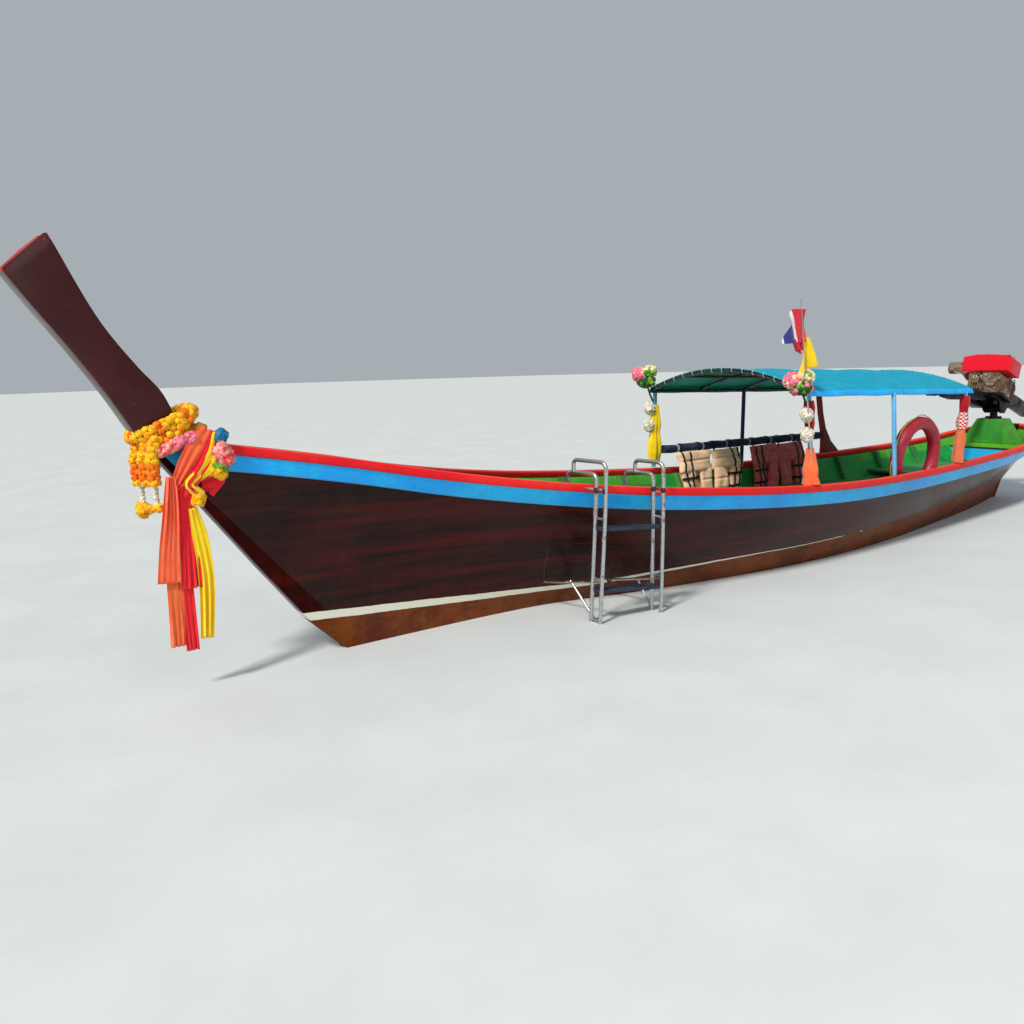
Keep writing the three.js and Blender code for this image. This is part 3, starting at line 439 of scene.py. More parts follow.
def place(name, mesh, paints, body):
    """An object at the origin that rides on a body, painted with one or more finishes."""
    for paint in [paints] if isinstance(paints, str) else paints:
        mesh.materials.append(PAINTS[paint])
    made = bpy.data.objects.new(name, mesh)
    bpy.context.scene.collection.objects.link(made)
    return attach(made, body)


def planed(node, paint, bevel=0.003, body="hull", name=None, smooth=35.0, dissolve=1.0):
    """A copy of a frame node with its flat faces merged and its sharp edges rounded.

    The faces of the rounding carry the number 1 in 'edge', where paint wears off first."""
    work = bmesh.new()
    work.from_mesh(frame["nodes"][node].data)
    bmesh.ops.remove_doubles(work, verts=work.verts, dist=2e-5)
    bmesh.ops.dissolve_limit(work, angle_limit=math.radians(dissolve), verts=work.verts, edges=work.edges)
    worn = work.faces.layers.float.new("edge")
    sharp = [e for e in work.edges if len(e.link_faces) == 2 and e.calc_face_angle(0) > math.radians(28)]
    made = bmesh.ops.bevel(work, geom=sharp, offset=bevel, offset_type="OFFSET", segments=2,
                           profile=0.6, affect="EDGES", clamp_overlap=True)
    for face in made["faces"]:
        face[worn] = 1.0
    bmesh.ops.triangulate(work, faces=[f for f in work.faces if len(f.verts) > 4])
    mesh = bpy.data.meshes.new(name or f"{node}_finish")
    work.to_mesh(mesh)
    work.free()
    mesh.shade_smooth()
    mesh.set_sharp_from_angle(angle=math.radians(smooth))
    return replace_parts(place(name or f"{node}_finish", mesh, paint, body), node)


def round_post(node, paint):
    """A round frame node gets a finish, and a smoothly shaded copy of it is what is shown."""
    source = frame["nodes"][node]
    source.data.materials.clear()
    source.data.materials.append(PAINTS[paint])
    mesh = source.data.copy()
    weld(mesh, 40)
    made = bpy.data.objects.new(f"{node}_round", mesh)
    bpy.context.scene.collection.objects.link(made)
    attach(made, source["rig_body"])
    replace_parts(made, node)


# Materials
def colour(red, green, blue):
    """A colour given in screen values from 0 to 255, as Blender's linear numbers."""
    return tuple(((c / 255 + 0.055) / 1.055) ** 2.4 if c > 10 else c / 255 / 12.92
                 for c in (red, green, blue)) + (1.0,)


class Tree:
    """Adds nodes to a material or group; a value given for an input is a number, a colour or a socket."""

    def __init__(self, tree):
        self.tree = tree

    def fill(self, node, key, value):
        """Links a socket to one input of a node, or sets that input to a constant."""
        if isinstance(value, bpy.types.NodeSocket):
            self.tree.links.new(value, node.inputs[key])
        else:
            node.inputs[key].default_value = value

    def node(self, kind, values=None, **settings):
        made = self.tree.nodes.new(kind)
        for key, value in settings.items():
            setattr(made, key, value)
        for key, value in (values or {}).items():
            self.fill(made, key, value)
        return made

    def group(self, kind, **values):
        """The outputs of a shared group; an underscore stands for a space in the name of an input."""
        values = {key.replace("_", " "): value for key, value in values.items()}
        return self.node("ShaderNodeGroup", values, node_tree=GROUPS[kind]).outputs

    def maths(self, operation, a, b=0.0, c=0.0, clamp=False):
        return self.node("ShaderNodeMath", {0: a, 1: b, 2: c}, operation=operation,
                         use_clamp=clamp).outputs[0]

    def plus(self, a, b):
        return self.maths("ADD", a, b)

    def minus(self, a, b):
        return self.maths("SUBTRACT", a, b)

    def times(self, a, b, clamp=False):
        return self.maths("MULTIPLY", a, b, clamp=clamp)

    def ramp(self, value, low, high, to_low=0.0, to_high=1.0):
        return self.node("ShaderNodeMapRange", {
            "Value": value, "From Min": low, "From Max": high, "To Min": to_low, "To Max": to_high},
            interpolation_type="SMOOTHSTEP").outputs["Result"]

    def mix(self, factor, a, b, blend="MIX"):
        return self.node("ShaderNodeMix", {0: factor, 6: a, 7: b}, data_type="RGBA", blend_type=blend,
                         clamp_factor=True).outputs[2]

    def noise(self, vector, scale, detail=3.0, roughness=0.55, distortion=0.0):
        return self.node("ShaderNodeTexNoise", {
            "Vector": vector, "Scale": scale, "Detail": detail, "Roughness": roughness,
            "Distortion": distortion}).outputs["Fac"]

    def stretched(self, vector, scale):
        return self.node("ShaderNodeMapping", {"Vector": vector, "Scale": scale}).outputs[0]

    def place(self):
        return self.node("ShaderNodeTexCoord").outputs["Object"]

    def uv(self):
        return self.node("ShaderNodeUVMap", uv_map="cloth").outputs["UV"]

    def axis(self, name, vector=None):
        """One coordinate of a vector, or of the place on the object."""
        vector = self.place() if vector is None else vector
        return self.node("ShaderNodeSeparateXYZ", {"Vector": vector}).outputs[name]

    def carried(self, name):
        """A number that the piece's mesh carries."""
        return self.node("ShaderNodeAttribute", attribute_name=name).outputs["Fac"]

    def seams(self, value, low, high):
        """1 where a number is nearly whole, as where two planks or two widths of cloth meet."""
        return self.ramp(self.maths("ABSOLUTE", self.minus(self.maths("FRACT", value), 0.5)), low, high)


def new_group(name, inputs, outputs):
    """A shader node group with named sockets; gives its tree, its inputs' sockets and its output node."""
    group = bpy.data.node_groups.new(name, "ShaderNodeTree")
    for socket, kind, default in inputs:
        made = group.interface.new_socket(name=socket, in_out="INPUT", socket_type=kind)
        made.default_value = default
    for socket, kind in outputs:
        group.interface.new_socket(name=socket, in_out="OUTPUT", socket_type=kind)
    tree = Tree(group)
    return tree, tree.node("NodeGroupInput").outputs, tree.node("NodeGroupOutput")


FLOAT, COLOUR = "NodeSocketFloat", "NodeSocketColor"


def painted_timber_group():
    """Brushed boat paint over planks: long strokes, faded patches, and chips on edges that show the wood."""
    t, given, out = new_group("Painted timber", [
        ("Paint", COLOUR, (0.5, 0.5, 0.5, 1)), ("Faded", COLOUR, (0.6, 0.6, 0.6, 1)),
        ("Bare", COLOUR, (0.2, 0.12, 0.07, 1)), ("Wear", FLOAT, 0.3), ("Edge", FLOAT, 0.0),
        ("Gloss", FLOAT, 0.35)], [("Colour", COLOUR), ("Roughness", FLOAT), ("Height", FLOAT)])
    at = t.place()
    grain = t.noise(t.stretched(at, (3.0, 34.0, 34.0)), 2.6, 5.0, 0.62, 0.3)
    patches = t.noise(at, 1.7, 4.0, 0.6, 0.4)
    chips = t.noise(t.stretched(at, (11.0, 26.0, 26.0)), 2.2, 6.0, 0.68)
    faded = t.mix(t.ramp(patches, 0.40, 0.72), given["Paint"], given["Faded"])
    strokes = t.mix(t.ramp(grain, 0.25, 0.8, 0.0, 0.30), faded, given["Bare"], "MULTIPLY")
    reach = t.maths("MULTIPLY_ADD", given["Edge"], 0.22, t.times(given["Wear"], 0.16))
    bare = t.ramp(t.plus(chips, reach), 0.74, 0.79)
    t.fill(out, "Colour", t.mix(bare, strokes, given["Bare"]))
    gloss = t.plus(given["Gloss"], t.ramp(patches, 0.3, 0.7, -0.06, 0.14))
    t.fill(out, "Roughness", t.maths("MAXIMUM", gloss, t.times(bare, 0.75)))
    height = t.maths("MULTIPLY_ADD", bare, -0.6, t.times(grain, 0.5))
    t.fill(out, "Height", height)
    return t.tree


def weave_group():
    """A plain weave on the UV in metres: warp and weft waves that pass over and under each other."""
    t, given, out = new_group("Weave", [("Threads per metre", FLOAT, 900.0), ("Fuzz", FLOAT, 0.2)],
                              [("Height", FLOAT), ("Shade", FLOAT)])
    uv = t.uv()
    waves = [t.maths("SINE", t.times(t.times(t.axis(side, uv), given["Threads per metre"]), math.pi))
             for side in ("X", "Y")]
    weave = t.times(waves[0], waves[1])
    worn = t.noise(uv, 60.0, 4.0, 0.6)
    t.fill(out, "Height", t.plus(t.times(weave, 0.5), t.times(worn, given["Fuzz"])))
    t.fill(out, "Shade", t.ramp(t.noise(uv, 9.0, 4.0, 0.6), 0.3, 0.75))
    return t.tree


def grime_group():
    """Salt and dirt: blotches that run down a surface, stronger towards its foot."""
    t, given, out = new_group("Grime", [("Amount", FLOAT, 0.3), ("Foot", FLOAT, 0.0), ("Reach", FLOAT, 0.5)],
                              [("Mask", FLOAT)])
    at = t.place()
    runs = t.noise(t.stretched(at, (9.0, 9.0, 1.1)), 1.9, 5.0, 0.6, 0.2)
    blotch = t.noise(at, 4.5, 5.0, 0.65)
    z = t.axis("Z", at)
    rise = t.maths("DIVIDE", t.minus(z, given["Foot"]), given["Reach"])
    low = t.ramp(rise, 0.0, 1.0, 1.0, 0.35)
    mask = t.times(t.ramp(t.times(t.plus(runs, blotch), 0.5), 0.42, 0.66), low)
    t.fill(out, "Mask", t.times(mask, given["Amount"], clamp=True))
    return t.tree


def cast_metal_group():
    """Worked metal: fine pits, rubbed shine, and rust or oil gathered in patches."""
    t, given, out = new_group("Worked metal", [
        ("Metal", COLOUR, (0.5, 0.5, 0.5, 1)), ("Stain", COLOUR, (0.2, 0.08, 0.03, 1)),
        ("Staining", FLOAT, 0.3), ("Edge", FLOAT, 0.0)],
        [("Colour", COLOUR), ("Roughness", FLOAT), ("Height", FLOAT), ("Stain", FLOAT)])
    at = t.place()
    pits = t.noise(at, 95.0, 3.0, 0.6)
    patches = t.noise(at, 8.0, 6.0, 0.66, 0.3)
    reach = t.minus(t.times(given["Staining"], 0.35),
                    t.times(given["Edge"], 0.12))
    stain = t.ramp(t.plus(patches, reach), 0.58, 0.70)
    tone = t.mix(t.ramp(pits, 0.3, 0.7, 0.0, 0.35), given["Metal"], given["Stain"], "MULTIPLY")
    t.fill(out, "Colour", t.mix(stain, tone, given["Stain"]))
    t.fill(out, "Roughness", t.ramp(t.plus(stain, t.times(patches, 0.4)), 0.0, 1.3, 0.24, 0.85))
    t.fill(out, "Height", t.maths("MULTIPLY_ADD", stain, 0.5, t.times(pits, 0.5)))
    t.fill(out, "Stain", stain)
    return t.tree


def shader(name):
    """An empty material with a Principled shader linked to its output."""
    material = bpy.data.materials.new(name)
    material.use_nodes = True
    material.node_tree.nodes.clear()
    t = Tree(material.node_tree)
    principled = t.node("ShaderNodeBsdfPrincipled")
    t.fill(t.node("ShaderNodeOutputMaterial"), "Surface", principled.outputs[0])
    return material, t, principled


def feed(t, principled, base, rough, height, distance=0.002, strength=0.5, **constants):
    """Links colour, roughness and a bump height to the shader, and sets its constants."""
    t.fill(principled, "Base Color", base)
    t.fill(principled, "Roughness", rough)
    bump = t.node("ShaderNodeBump", {"Height": height, "Distance": distance, "Strength": strength})
    t.fill(principled, "Normal", bump.outputs[0])
    for key, value in constants.items():
        principled.inputs[key.replace("_", " ")].default_value = value


def painted_timber(name, paint, faded, bare, wear, gloss, grime, foot, dirt=(70, 55, 40), coat=0.0):
    """Paint on wood, worn at the edges and dirty towards the foot."""
    material, t, principled = shader(name)
    wood = t.group("timber", Paint=colour(*paint), Faded=colour(*faded), Bare=colour(*bare), Wear=wear,
                   Gloss=gloss, Edge=t.carried("edge"))
    dirty = t.group("grime", Amount=grime, Foot=foot, Reach=0.6)
    base = t.mix(dirty["Mask"], wood["Colour"], colour(*dirt))
    feed(t, principled, base, wood["Roughness"], wood["Height"], 0.0015, 0.35,
         Coat_Weight=coat, Coat_Roughness=0.12, Specular_IOR_Level=0.22)
    return material


def woven(name, cloth, shade, threads, fuzz, rough, sheen, translucent=0.0, depth=0.0006):
    """Woven cloth with two tones of its colour."""
    material, t, principled = shader(name)
    weave = t.group("weave", Threads_per_metre=threads, Fuzz=fuzz)
    base = t.mix(weave["Shade"], colour(*cloth), colour(*shade))
    feed(t, principled, base, rough, weave["Height"], depth, 0.6,
         Sheen_Weight=sheen, Sheen_Roughness=0.5, Subsurface_Weight=translucent, Specular_IOR_Level=0.12)
    if translucent:
        principled.inputs["Subsurface Radius"].default_value = (0.01, 0.006, 0.004)
        principled.inputs["Subsurface Scale"].default_value = 0.5
    return material


def metal(name, tone, stain, staining, metallic, depth=0.0008, shine=None, specular=0.5):
    """Cast, bent or plated metal with stains that are less metallic."""
    material, t, principled = shader(name)
    work = t.group("metal", Metal=colour(*tone), Stain=colour(*stain), Staining=staining,
                   Edge=t.carried("edge"))
    rough = work["Roughness"] if shine is None else t.times(work["Roughness"], shine)
    feed(t, principled, work["Colour"], rough, work["Height"], depth, 0.4, Specular_IOR_Level=specular)
    t.fill(principled, "Metallic", t.times(t.minus(1.0, work["Stain"]), metallic))
    return material


def blossom(name, petal, heart):
    """Petals that vary from one flower to the next, darker between them."""
    material, t, principled = shader(name)
    at = t.place()
    spots, fine = (t.noise(at, scale, 3.0, 0.6) for scale in (34.0, 240.0))
    base = t.mix(t.ramp(spots, 0.38, 0.66), colour(*petal), colour(*heart))
    feed(t, principled, base, 0.7, fine, 0.003, 0.7, Subsurface_Weight=0.15, Sheen_Weight=0.1,
         Specular_IOR_Level=0.15, Subsurface_Radius=(0.01, 0.006, 0.003), Subsurface_Scale=0.3)
    return material


# Hull
def planking_surfaces():
    """The outer face over stations and heights, the inner face sunk by the planks' thickness, and the rims
    between them. The UV is the length along the hull in metres and the number of the plank."""
    i, h = np.linspace(0, STEPS, FINE), np.linspace(0, 1, 45) ** 1.4
    ii, hh = np.meshgrid(i, h, indexing="ij")
    outer = hull_face(ii, hh)
    inner = hull_sunk(ii, hh, PLANK)
    inner[:, -1, 2] = outer[:, -1, 2] - 0.004
    inner[..., 1] = np.maximum(inner[..., 1], CORE)
    girth = run(outer[FINE // 2])
    uv = np.stack([outer[..., 0], np.broadcast_to(girth / girth[-1] * 8, ii.shape)], 2)
    depth = outer[:, -1:, 2] - outer[..., 2]
    rims = [grid(np.stack([outer[:, k], inner[:, k]], 1), slot) for k, slot in ((0, 0), (-1, 1))]
    ends = [grid(np.stack([outer[k], inner[k]], 1), 0) for k in (0, -1)]
    return [grid(outer, 0, uv=uv), grid(inner, 1, uv=uv, stripe=depth + 1.0), *rims, *ends]


def arc(centre, radius, start, stop, count=5):
    """Points of an arc, angles in degrees."""
    a = np.radians(np.linspace(start, stop, count))
    return np.stack([centre[0] + radius * np.cos(a), centre[1] + radius * np.sin(a)], 1)


def strake_surfaces():
    """A rounded bar carried along the top of the planking: its section is given by the drop below the
    planks' edge and the distance out from their face."""
    i = np.linspace(0.05, STEPS - 0.05, FINE)
    edge, _, foot = hull_station(i)
    top = edge[:, 2] - CAP_HEIGHT - CAP_GAP
    share = STRAKE_HEIGHT / (top - foot[:, 2])
    t, r = STRAKE_THICKNESS, ROUNDING
    low = np.radians(np.linspace(0, 90, 6))
    lower = np.stack([1 - (r - r * np.cos(low)) / STRAKE_HEIGHT, t - r + r * np.sin(low)], 1)
    upper = np.stack([0.004 / STRAKE_HEIGHT * (1 - np.sin(low)), t - 0.004 + 0.004 * np.cos(low)], 1)
    section = np.vstack([[(0.0, 0.001), (1.0, 0.001)], lower, upper])
    h = 1 - section[None, :, 0] * share[:, None]
    out = np.broadcast_to(section[None, :, 1], h.shape)
    ii = np.broadcast_to(i[:, None], h.shape)
    base = hull_face(ii, h)
    _, o, _ = hull_station(ii.ravel())
    points = base + np.concatenate([o, np.zeros((len(o), 1))], 1).reshape(base.shape) * out[..., None]
    points[..., 1] = np.maximum(points[..., 1], CORE)
    worn = np.zeros(h.shape)
    worn[:, 3:7] = 0.8
    worn[:, 10:] = 0.8
    return [grid(points, 0, wrap_columns=True, edge=worn),
            fan(points[0], points[0].mean(0)), fan(points[-1], points[-1].mean(0))]


def cap_surfaces():
    """A flat bar with rounded shoulders carried along the gunwale; its upper face has its own paint."""
    i = np.linspace(0, STEPS, FINE)
    w, r, foot, bevel = CAP_WIDTH, ROUNDING, -CAP_HEIGHT, 0.004
    side = np.vstack([[(-w, -r), (-w, foot + bevel), (-w + bevel, foot), (-bevel, foot), (0, foot + bevel),
                       (0, -r)], arc((-r, -r), r, 15, 60, 4)])
    upper = np.vstack([side[-1:], arc((-r, -r), r, 75, 90, 2), [(-w / 2, 0.0012)],
                       arc((-w + r, -r), r, 90, 180, 6)])

    def carried(section, slot):
        """A section carried along the gunwale, paler on its shoulders."""
        points = np.stack([gunwale(i, o, z) for o, z in section], 1)
        points[..., 1] = np.maximum(points[..., 1], CORE)
        worn = np.broadcast_to((np.abs(section[:, 1] + r) < r * 0.98)[None] * 0.35, points.shape[:2])
        return points, grid(points, slot, edge=worn)

    a, first = carried(side, 0)
    b, second = carried(upper, 1)
    ends = []
    for k in (0, -1):
        ring = np.vstack([a[k], b[k][1:-1]])
        ends.append(fan(ring, ring.mean(0)))
    return [first, second, *ends]


def prow_surfaces():
    """The raked prow post: straight lines from its back curve to its front curve, with a domed top, thickened
    to a section whose corners are rounded."""
    s = np.r_[np.linspace(0, 0.9, 30), np.linspace(0.91, 1, 12)]
    front = through([(5.001, 1.336), (5.128, 1.553), (5.268, 1.764), (5.402, 1.950), (5.523, 2.124)], s)
    back = through([(4.770, 1.336), (4.858, 1.545), (4.962, 1.672), (5.120, 1.894), (5.318, 2.300)], s)
    w, y = rounded_section(0.10, 7)
    w = (w + 1) / 2
    across = back[:, None] * (1 - w[None, :, None]) + front[:, None] * w[None, :, None]
    dome = (s[:, None] ** 14) * 4 * w * (1 - w) * 0.045
    across = across + dome[..., None] * np.array([0.75, 0.66])
    shrink = 1 - 0.12 * np.clip((s - 0.965) / 0.035, 0, 1) ** 2
    points = np.stack([across[..., 0], 0.066 * y[None, :] * shrink[:, None], across[..., 1]], 2)
    corner = 0.45 * ((np.abs(y) > 0.93) & (np.abs(w - 0.5) > 0.465))[None, :]
    worn = np.clip((s[:, None] - 0.955) / 0.045, 0, 1) * 0.6 + corner
    return [grid(points, 0, wrap_columns=True, edge=np.minimum(worn, 1)),
            fan(points[0], points[0].mean(0)), fan(points[-1], points[-1].mean(0) + [0.008, 0, 0.01], 1)]


def rounded_section(corner, count):
    """A square section from -1 to 1 both ways whose corners are arcs of the given share of its half side."""
    k = 1 - corner
    parts = [arc((sx * k, sy * k), corner, start, start + 90, count)
             for sx, sy, start in ((1, 1, 0), (-1, 1, 90), (-1, -1, 180), (1, -1, 270))]
    ring = np.vstack(parts)
    return ring[:, 0], ring[:, 1]


def build_hull():
    """The planks, strakes and caps of both sides."""
    for made, name, nodes, slot, paints, smooth in (
            (planking_surfaces(), "hull_planks", ("planking", "bottom_planks"), "planking",
             ("hull", "inside"), 45),
            (strake_surfaces(), "strake", ("rub_strake",), "rub_strake", "strake", 50),
            (cap_surfaces(), "cap", ("gunwale_cap",), "gunwale", ("cap", "cap_top"), 50)):
        for side, surfaces in (("port", made), ("starboard", [s.mirrored() for s in made])):
            make_piece(f"{name}_{side}", surfaces, paints, slot, [f"{node}_{side}" for node in nodes],
                       smooth=smooth)


def build_timbers():
    """Timbers, benches and decks with rounded edges, the stern's bulkhead and the prow post."""
    for node, paint, bevel in (
            ("keel", "stem", 0.008), ("stern_post", "stem", 0.010),
            ("floor_timbers", "ribs", 0.004), ("ribs_port", "ribs", 0.004), ("ribs_starboard", "ribs", 0.004),
            ("floor_boards", "boards", 0.003), ("thwart_1", "thwart", 0.005), ("thwart_2", "thwart", 0.005),
            ("thwart_3", "thwart", 0.005), ("foredeck", "foredeck", 0.003), ("stern_deck", "thwart", 0.003),
            ("stern_platform", "platform", 0.005), ("engine_pedestal", "pedestal", 0.006)):
        planed(node, paint, bevel)
    cut_above(planed("stem_post", "stem", 0.006, name="stem_timber").data, PROW_FOOT)
    # Its rubber strip is painted shade: the shadow under the platform's lip
    make_piece("stern_bulkhead", bulkhead_surfaces(), ("stern_deck", "rubber"), "stern_deck", smooth=30)
    make_piece("prow_post", prow_surfaces(), ("prow", "prow_top"), "keel_wood", smooth=40)


def bulkhead_surfaces():
    """A board across the hull below the platform's lip, cut to the planking, and above it a black strip of
    painted shade that stands for the shadowed gap under the lip.
    """
    made = []
    # Columns: foot, top, front face, material number
    # The second row is that black strip, painted shade under the platform's lip
    for low, high, front, slot in ((DECK_TOP + 0.001, 0.530, -3.806, 0), (0.530, 0.550, -3.822, 1)):
        height = np.linspace(low, high, 7)
        half = np.array([hull_breadth(front, z) for z in height]) - PLANK - 0.010
        face = joined(front, half[:, None] * np.linspace(-1, 1, 25), height[:, None])
        back = face - [0.018, 0, 0]
        back[..., 0] = np.maximum(back[..., 0], -3.829)
        edges = [(face[0], back[0]), (face[-1], back[-1]), (face[:, 0], back[:, 0]),
                 (face[:, -1], back[:, -1])]
        made += [grid(face, slot), grid(back, slot), *(grid(np.stack(pair, 1), slot) for pair in edges)]
    return made


def cut_above(mesh, z):
    """What is above a height is cut off and the cut is closed."""
    work = bmesh.new()
    work.from_mesh(mesh)
    made = bmesh.ops.bisect_plane(work, geom=work.verts[:] + work.edges[:] + work.faces[:], dist=1e-5,
                                  plane_co=(0, 0, z), plane_no=(0, 0, 1), clear_outer=True)
    cut = [e for e in made["geom_cut"] if isinstance(e, bmesh.types.BMEdge)]
    bmesh.ops.contextual_create(work, geom=cut)
    work.to_mesh(mesh)
    work.free()


# Canopy and posts
def canopy_edge(x):
    """Height of the canopy's side edges at x."""
    share = (np.asarray(x) - CANOPY_REAR) / (CANOPY_FRONT - CANOPY_REAR)
    return CANOPY_EDGE_REAR + share * (CANOPY_EDGE_FRONT - CANOPY_EDGE_REAR)


def canopy_top(x, y):
    """Height of the cloth: a parabola across, less the sag between the bows."""
    bows = np.sort(np.array(CANOPY_BOWS))
    span = np.interp(x, bows, np.arange(len(bows)))
    sag = np.sin(np.pi * (span - np.floor(span))) ** 2
    across = 1 - (y / CANOPY_HALF) ** 2
    ripple = 0.0016 * rough(np.stack([x, y, x * 0], -1), 9.0, 3)
    return canopy_edge(x) + CANOPY_RISE * across - 0.003 - CANOPY_SAG * sag * (0.35 + across) + ripple


def canopy_surfaces():
    """The cloth over x and a length across that runs down both sides as a hem; its height is canopy_top."""
    x = np.linspace(CANOPY_REAR + 0.004, CANOPY_FRONT - 0.004, 101)
    y = np.linspace(-CANOPY_HALF + 0.004, CANOPY_HALF - 0.004, 65)
    xx, yy = np.meshgrid(x, y, indexing="ij")
    top = np.stack([xx, yy, canopy_top(xx, yy)], 2)
    hems = []
    for side in (0, -1):
        rim = top[:, side]
        drop = np.linspace(0, 1, 7)[None, :, None]
        scallop = 0.002 * np.sin(rim[:, 0] * 2 * np.pi / 0.205)[:, None]
        out = np.sign(rim[0, 1]) * (0.0165 * np.sin(np.pi / 2 * drop[..., 0]) + scallop * drop[..., 0])
        hem = np.repeat(rim[:, None], 7, 1)
        hem[..., 1] += out
        hem[..., 2] -= CANOPY_HEM * drop[..., 0] ** 1.3
        hems.append(grid(hem, 1))
    return [grid(top, 0), *hems]


def build_canopy(thickness):
    """The canopy's cloth laced to its end bows, the tubes that carry it, and the six posts."""
    paints = ("canopy", "canopy_hem", "canopy_under", "canopy_under")
    cloth = make_piece("canopy_cloth", canopy_surfaces(), paints, "canopy_cloth", ["canopy_cover"], smooth=70)
    thicken(cloth, thickness, -1.0).modifiers["thickness"].material_offset = 2
    lacing = []
    a = np.linspace(0, 2 * np.pi, 15)[:, None]
    loop = 0.0185 * (np.cos(a) * [1, 0, 0] + np.sin(a) * [0, 0, 1])
    for x in (CANOPY_FRONT - 0.018, CANOPY_REAR + 0.018):
        for y in np.linspace(-0.70, 0.70, 15):
            centre = np.array([x, y, float(canopy_top(np.array(x), np.array(y))) - 0.013])
            lacing += tube(centre + loop, CORD_RADIUS, 6, closed=True)
    rope = make_piece("canopy_lacing", lacing, "white_cord")

    def under(x, y):
        """Height of the cloth's underside."""
        return canopy_edge(x) + CANOPY_RISE * (1 - (y / CANOPY_HALF) ** 2) - 0.0123

    bars = []
    ends = np.array([CANOPY_REAR + 0.02, CANOPY_FRONT - 0.02])
    for y, radius in ((0.754, RAIL_RADIUS), (-0.754, RAIL_RADIUS), (0.0, BOW_RADIUS), (0.38, BOW_RADIUS),
                      (-0.38, BOW_RADIUS)):
        line = np.stack([ends, np.full(2, y), under(ends, y) - radius - 0.009], 1)
        bars += tube(np.linspace(line[0], line[1], 9), radius, 16)
    y = np.linspace(-CANOPY_HALF, CANOPY_HALF, 41)
    for x in CANOPY_BOWS:
        bars += tube(np.stack([np.full(41, x), y, under(x, y) - 0.014], 1), BOW_RADIUS, 12)
    make_piece("canopy_frame_tubes", bars, "frame_tube", "canopy_frame", ["canopy_frame"])
    for name in POSTS:
        # The middle starboard post takes a darker copy of the light blue paint: painted shade where the
        # canopy shades it
        round_post(f"post_{name}", "pole_blue_painted_shade" if name == "starboard_middle" else "pole_blue")
    planed("post_starboard_rear", "knee_post", 0.008)


def thicken(obj, thickness, offset=-1.0):
    """A Solidify modifier gives a sheet its thickness."""
    solid = obj.modifiers.new("thickness", "SOLIDIFY")
    solid.thickness = thickness
    solid.offset = offset
    solid.use_even_offset = True
    return obj


# Flowers and cloths
def pompon(radius, seed, petals=7):
    """A small ruffled ball: a sphere over 5 rows and a few columns whose radius waves round it."""
    rng = np.random.default_rng(seed)
    v = np.linspace(0.16, math.pi - 0.16, 5)[:, None]
    u = np.arange(petals * 2)[None] * 2 * math.pi / (petals * 2) + rng.uniform(0, 6)
    r = radius * (1 + 0.16 * np.cos(petals * u + 2.4 * v) + 0.10 * np.cos(3 * u - 4 * v))
    return np.stack([r * np.sin(v) * np.cos(u), r * np.sin(v) * np.sin(u),
                     r * 0.82 * np.cos(v) * np.ones_like(u)], 2)


def scattered(places, radii, ways, slots, seed=0):
    """Ruffled balls at many places, each turned to its own way and with its own material number."""
    rng = np.random.default_rng(seed)
    made = []
    for slot in sorted(set(slots)):
        chosen = np.flatnonzero(np.asarray(slots) == slot)
        base = pompon(1.0, seed + slot)
        rows, columns = base.shape[:2]
        up = np.asarray(ways, float)[chosen]
        up = unit(up)
        side = np.cross(up, rng.normal(size=up.shape))
        side = unit(side)
        third = np.cross(up, side)
        r = np.asarray(radii, float)[chosen][:, None, None]
        flat = base.reshape(-1, 3)
        points = (np.asarray(places, float)[chosen][:, None]
                  + r * (flat[None, :, :1] * side[:, None] + flat[None, :, 1:2] * third[:, None]
                         + flat[None, :, 2:] * up[:, None]))
        faces = grid_faces(rows, columns, wrap_columns=True)
        lids = np.array([[rows * columns - columns + k for k in range(columns)], list(range(columns))[::-1]])
        every = len(flat) * np.arange(len(chosen))[:, None, None]
        made.append(Surface(points.reshape(-1, 3),
                            [(faces[None] + every).reshape(-1, 4), (lids[None] + every).reshape(-1, columns)],
                            None, int(slot)))
    return made


def strand(path, radius, step, slot_of, seed=0, round_it=2):
    """Ruffled balls set side by side along a path, in rings that turn as they go, as on a garland."""
    path = np.asarray(path, float)
    length = run(path)
    count = max(2, int(length[-1] / step))
    at = (np.arange(count) + 0.5) * length[-1] / count
    centre = np.stack([np.interp(at, length, path[:, k]) for k in range(3)], 1)
    across, up = frames_along(centre)
    rng = np.random.default_rng(seed)
    places, ways, radii = [], [], []
    for k in range(round_it):
        a = 2 * math.pi * k / round_it + np.arange(len(at)) * 1.3
        way = np.cos(a)[:, None] * across + np.sin(a)[:, None] * up
        places.append(centre + way * radius * 0.62)
        ways.append(way)
        radii.append(radius * rng.uniform(0.60, 0.78, len(at)))
    places, ways, radii = np.vstack(places), np.vstack(ways), np.concatenate(radii)
    slots = [slot_of(k / max(len(at) - 1, 1)) for _ in range(round_it) for k in range(len(at))]
    return scattered(places, radii, ways, slots, seed)


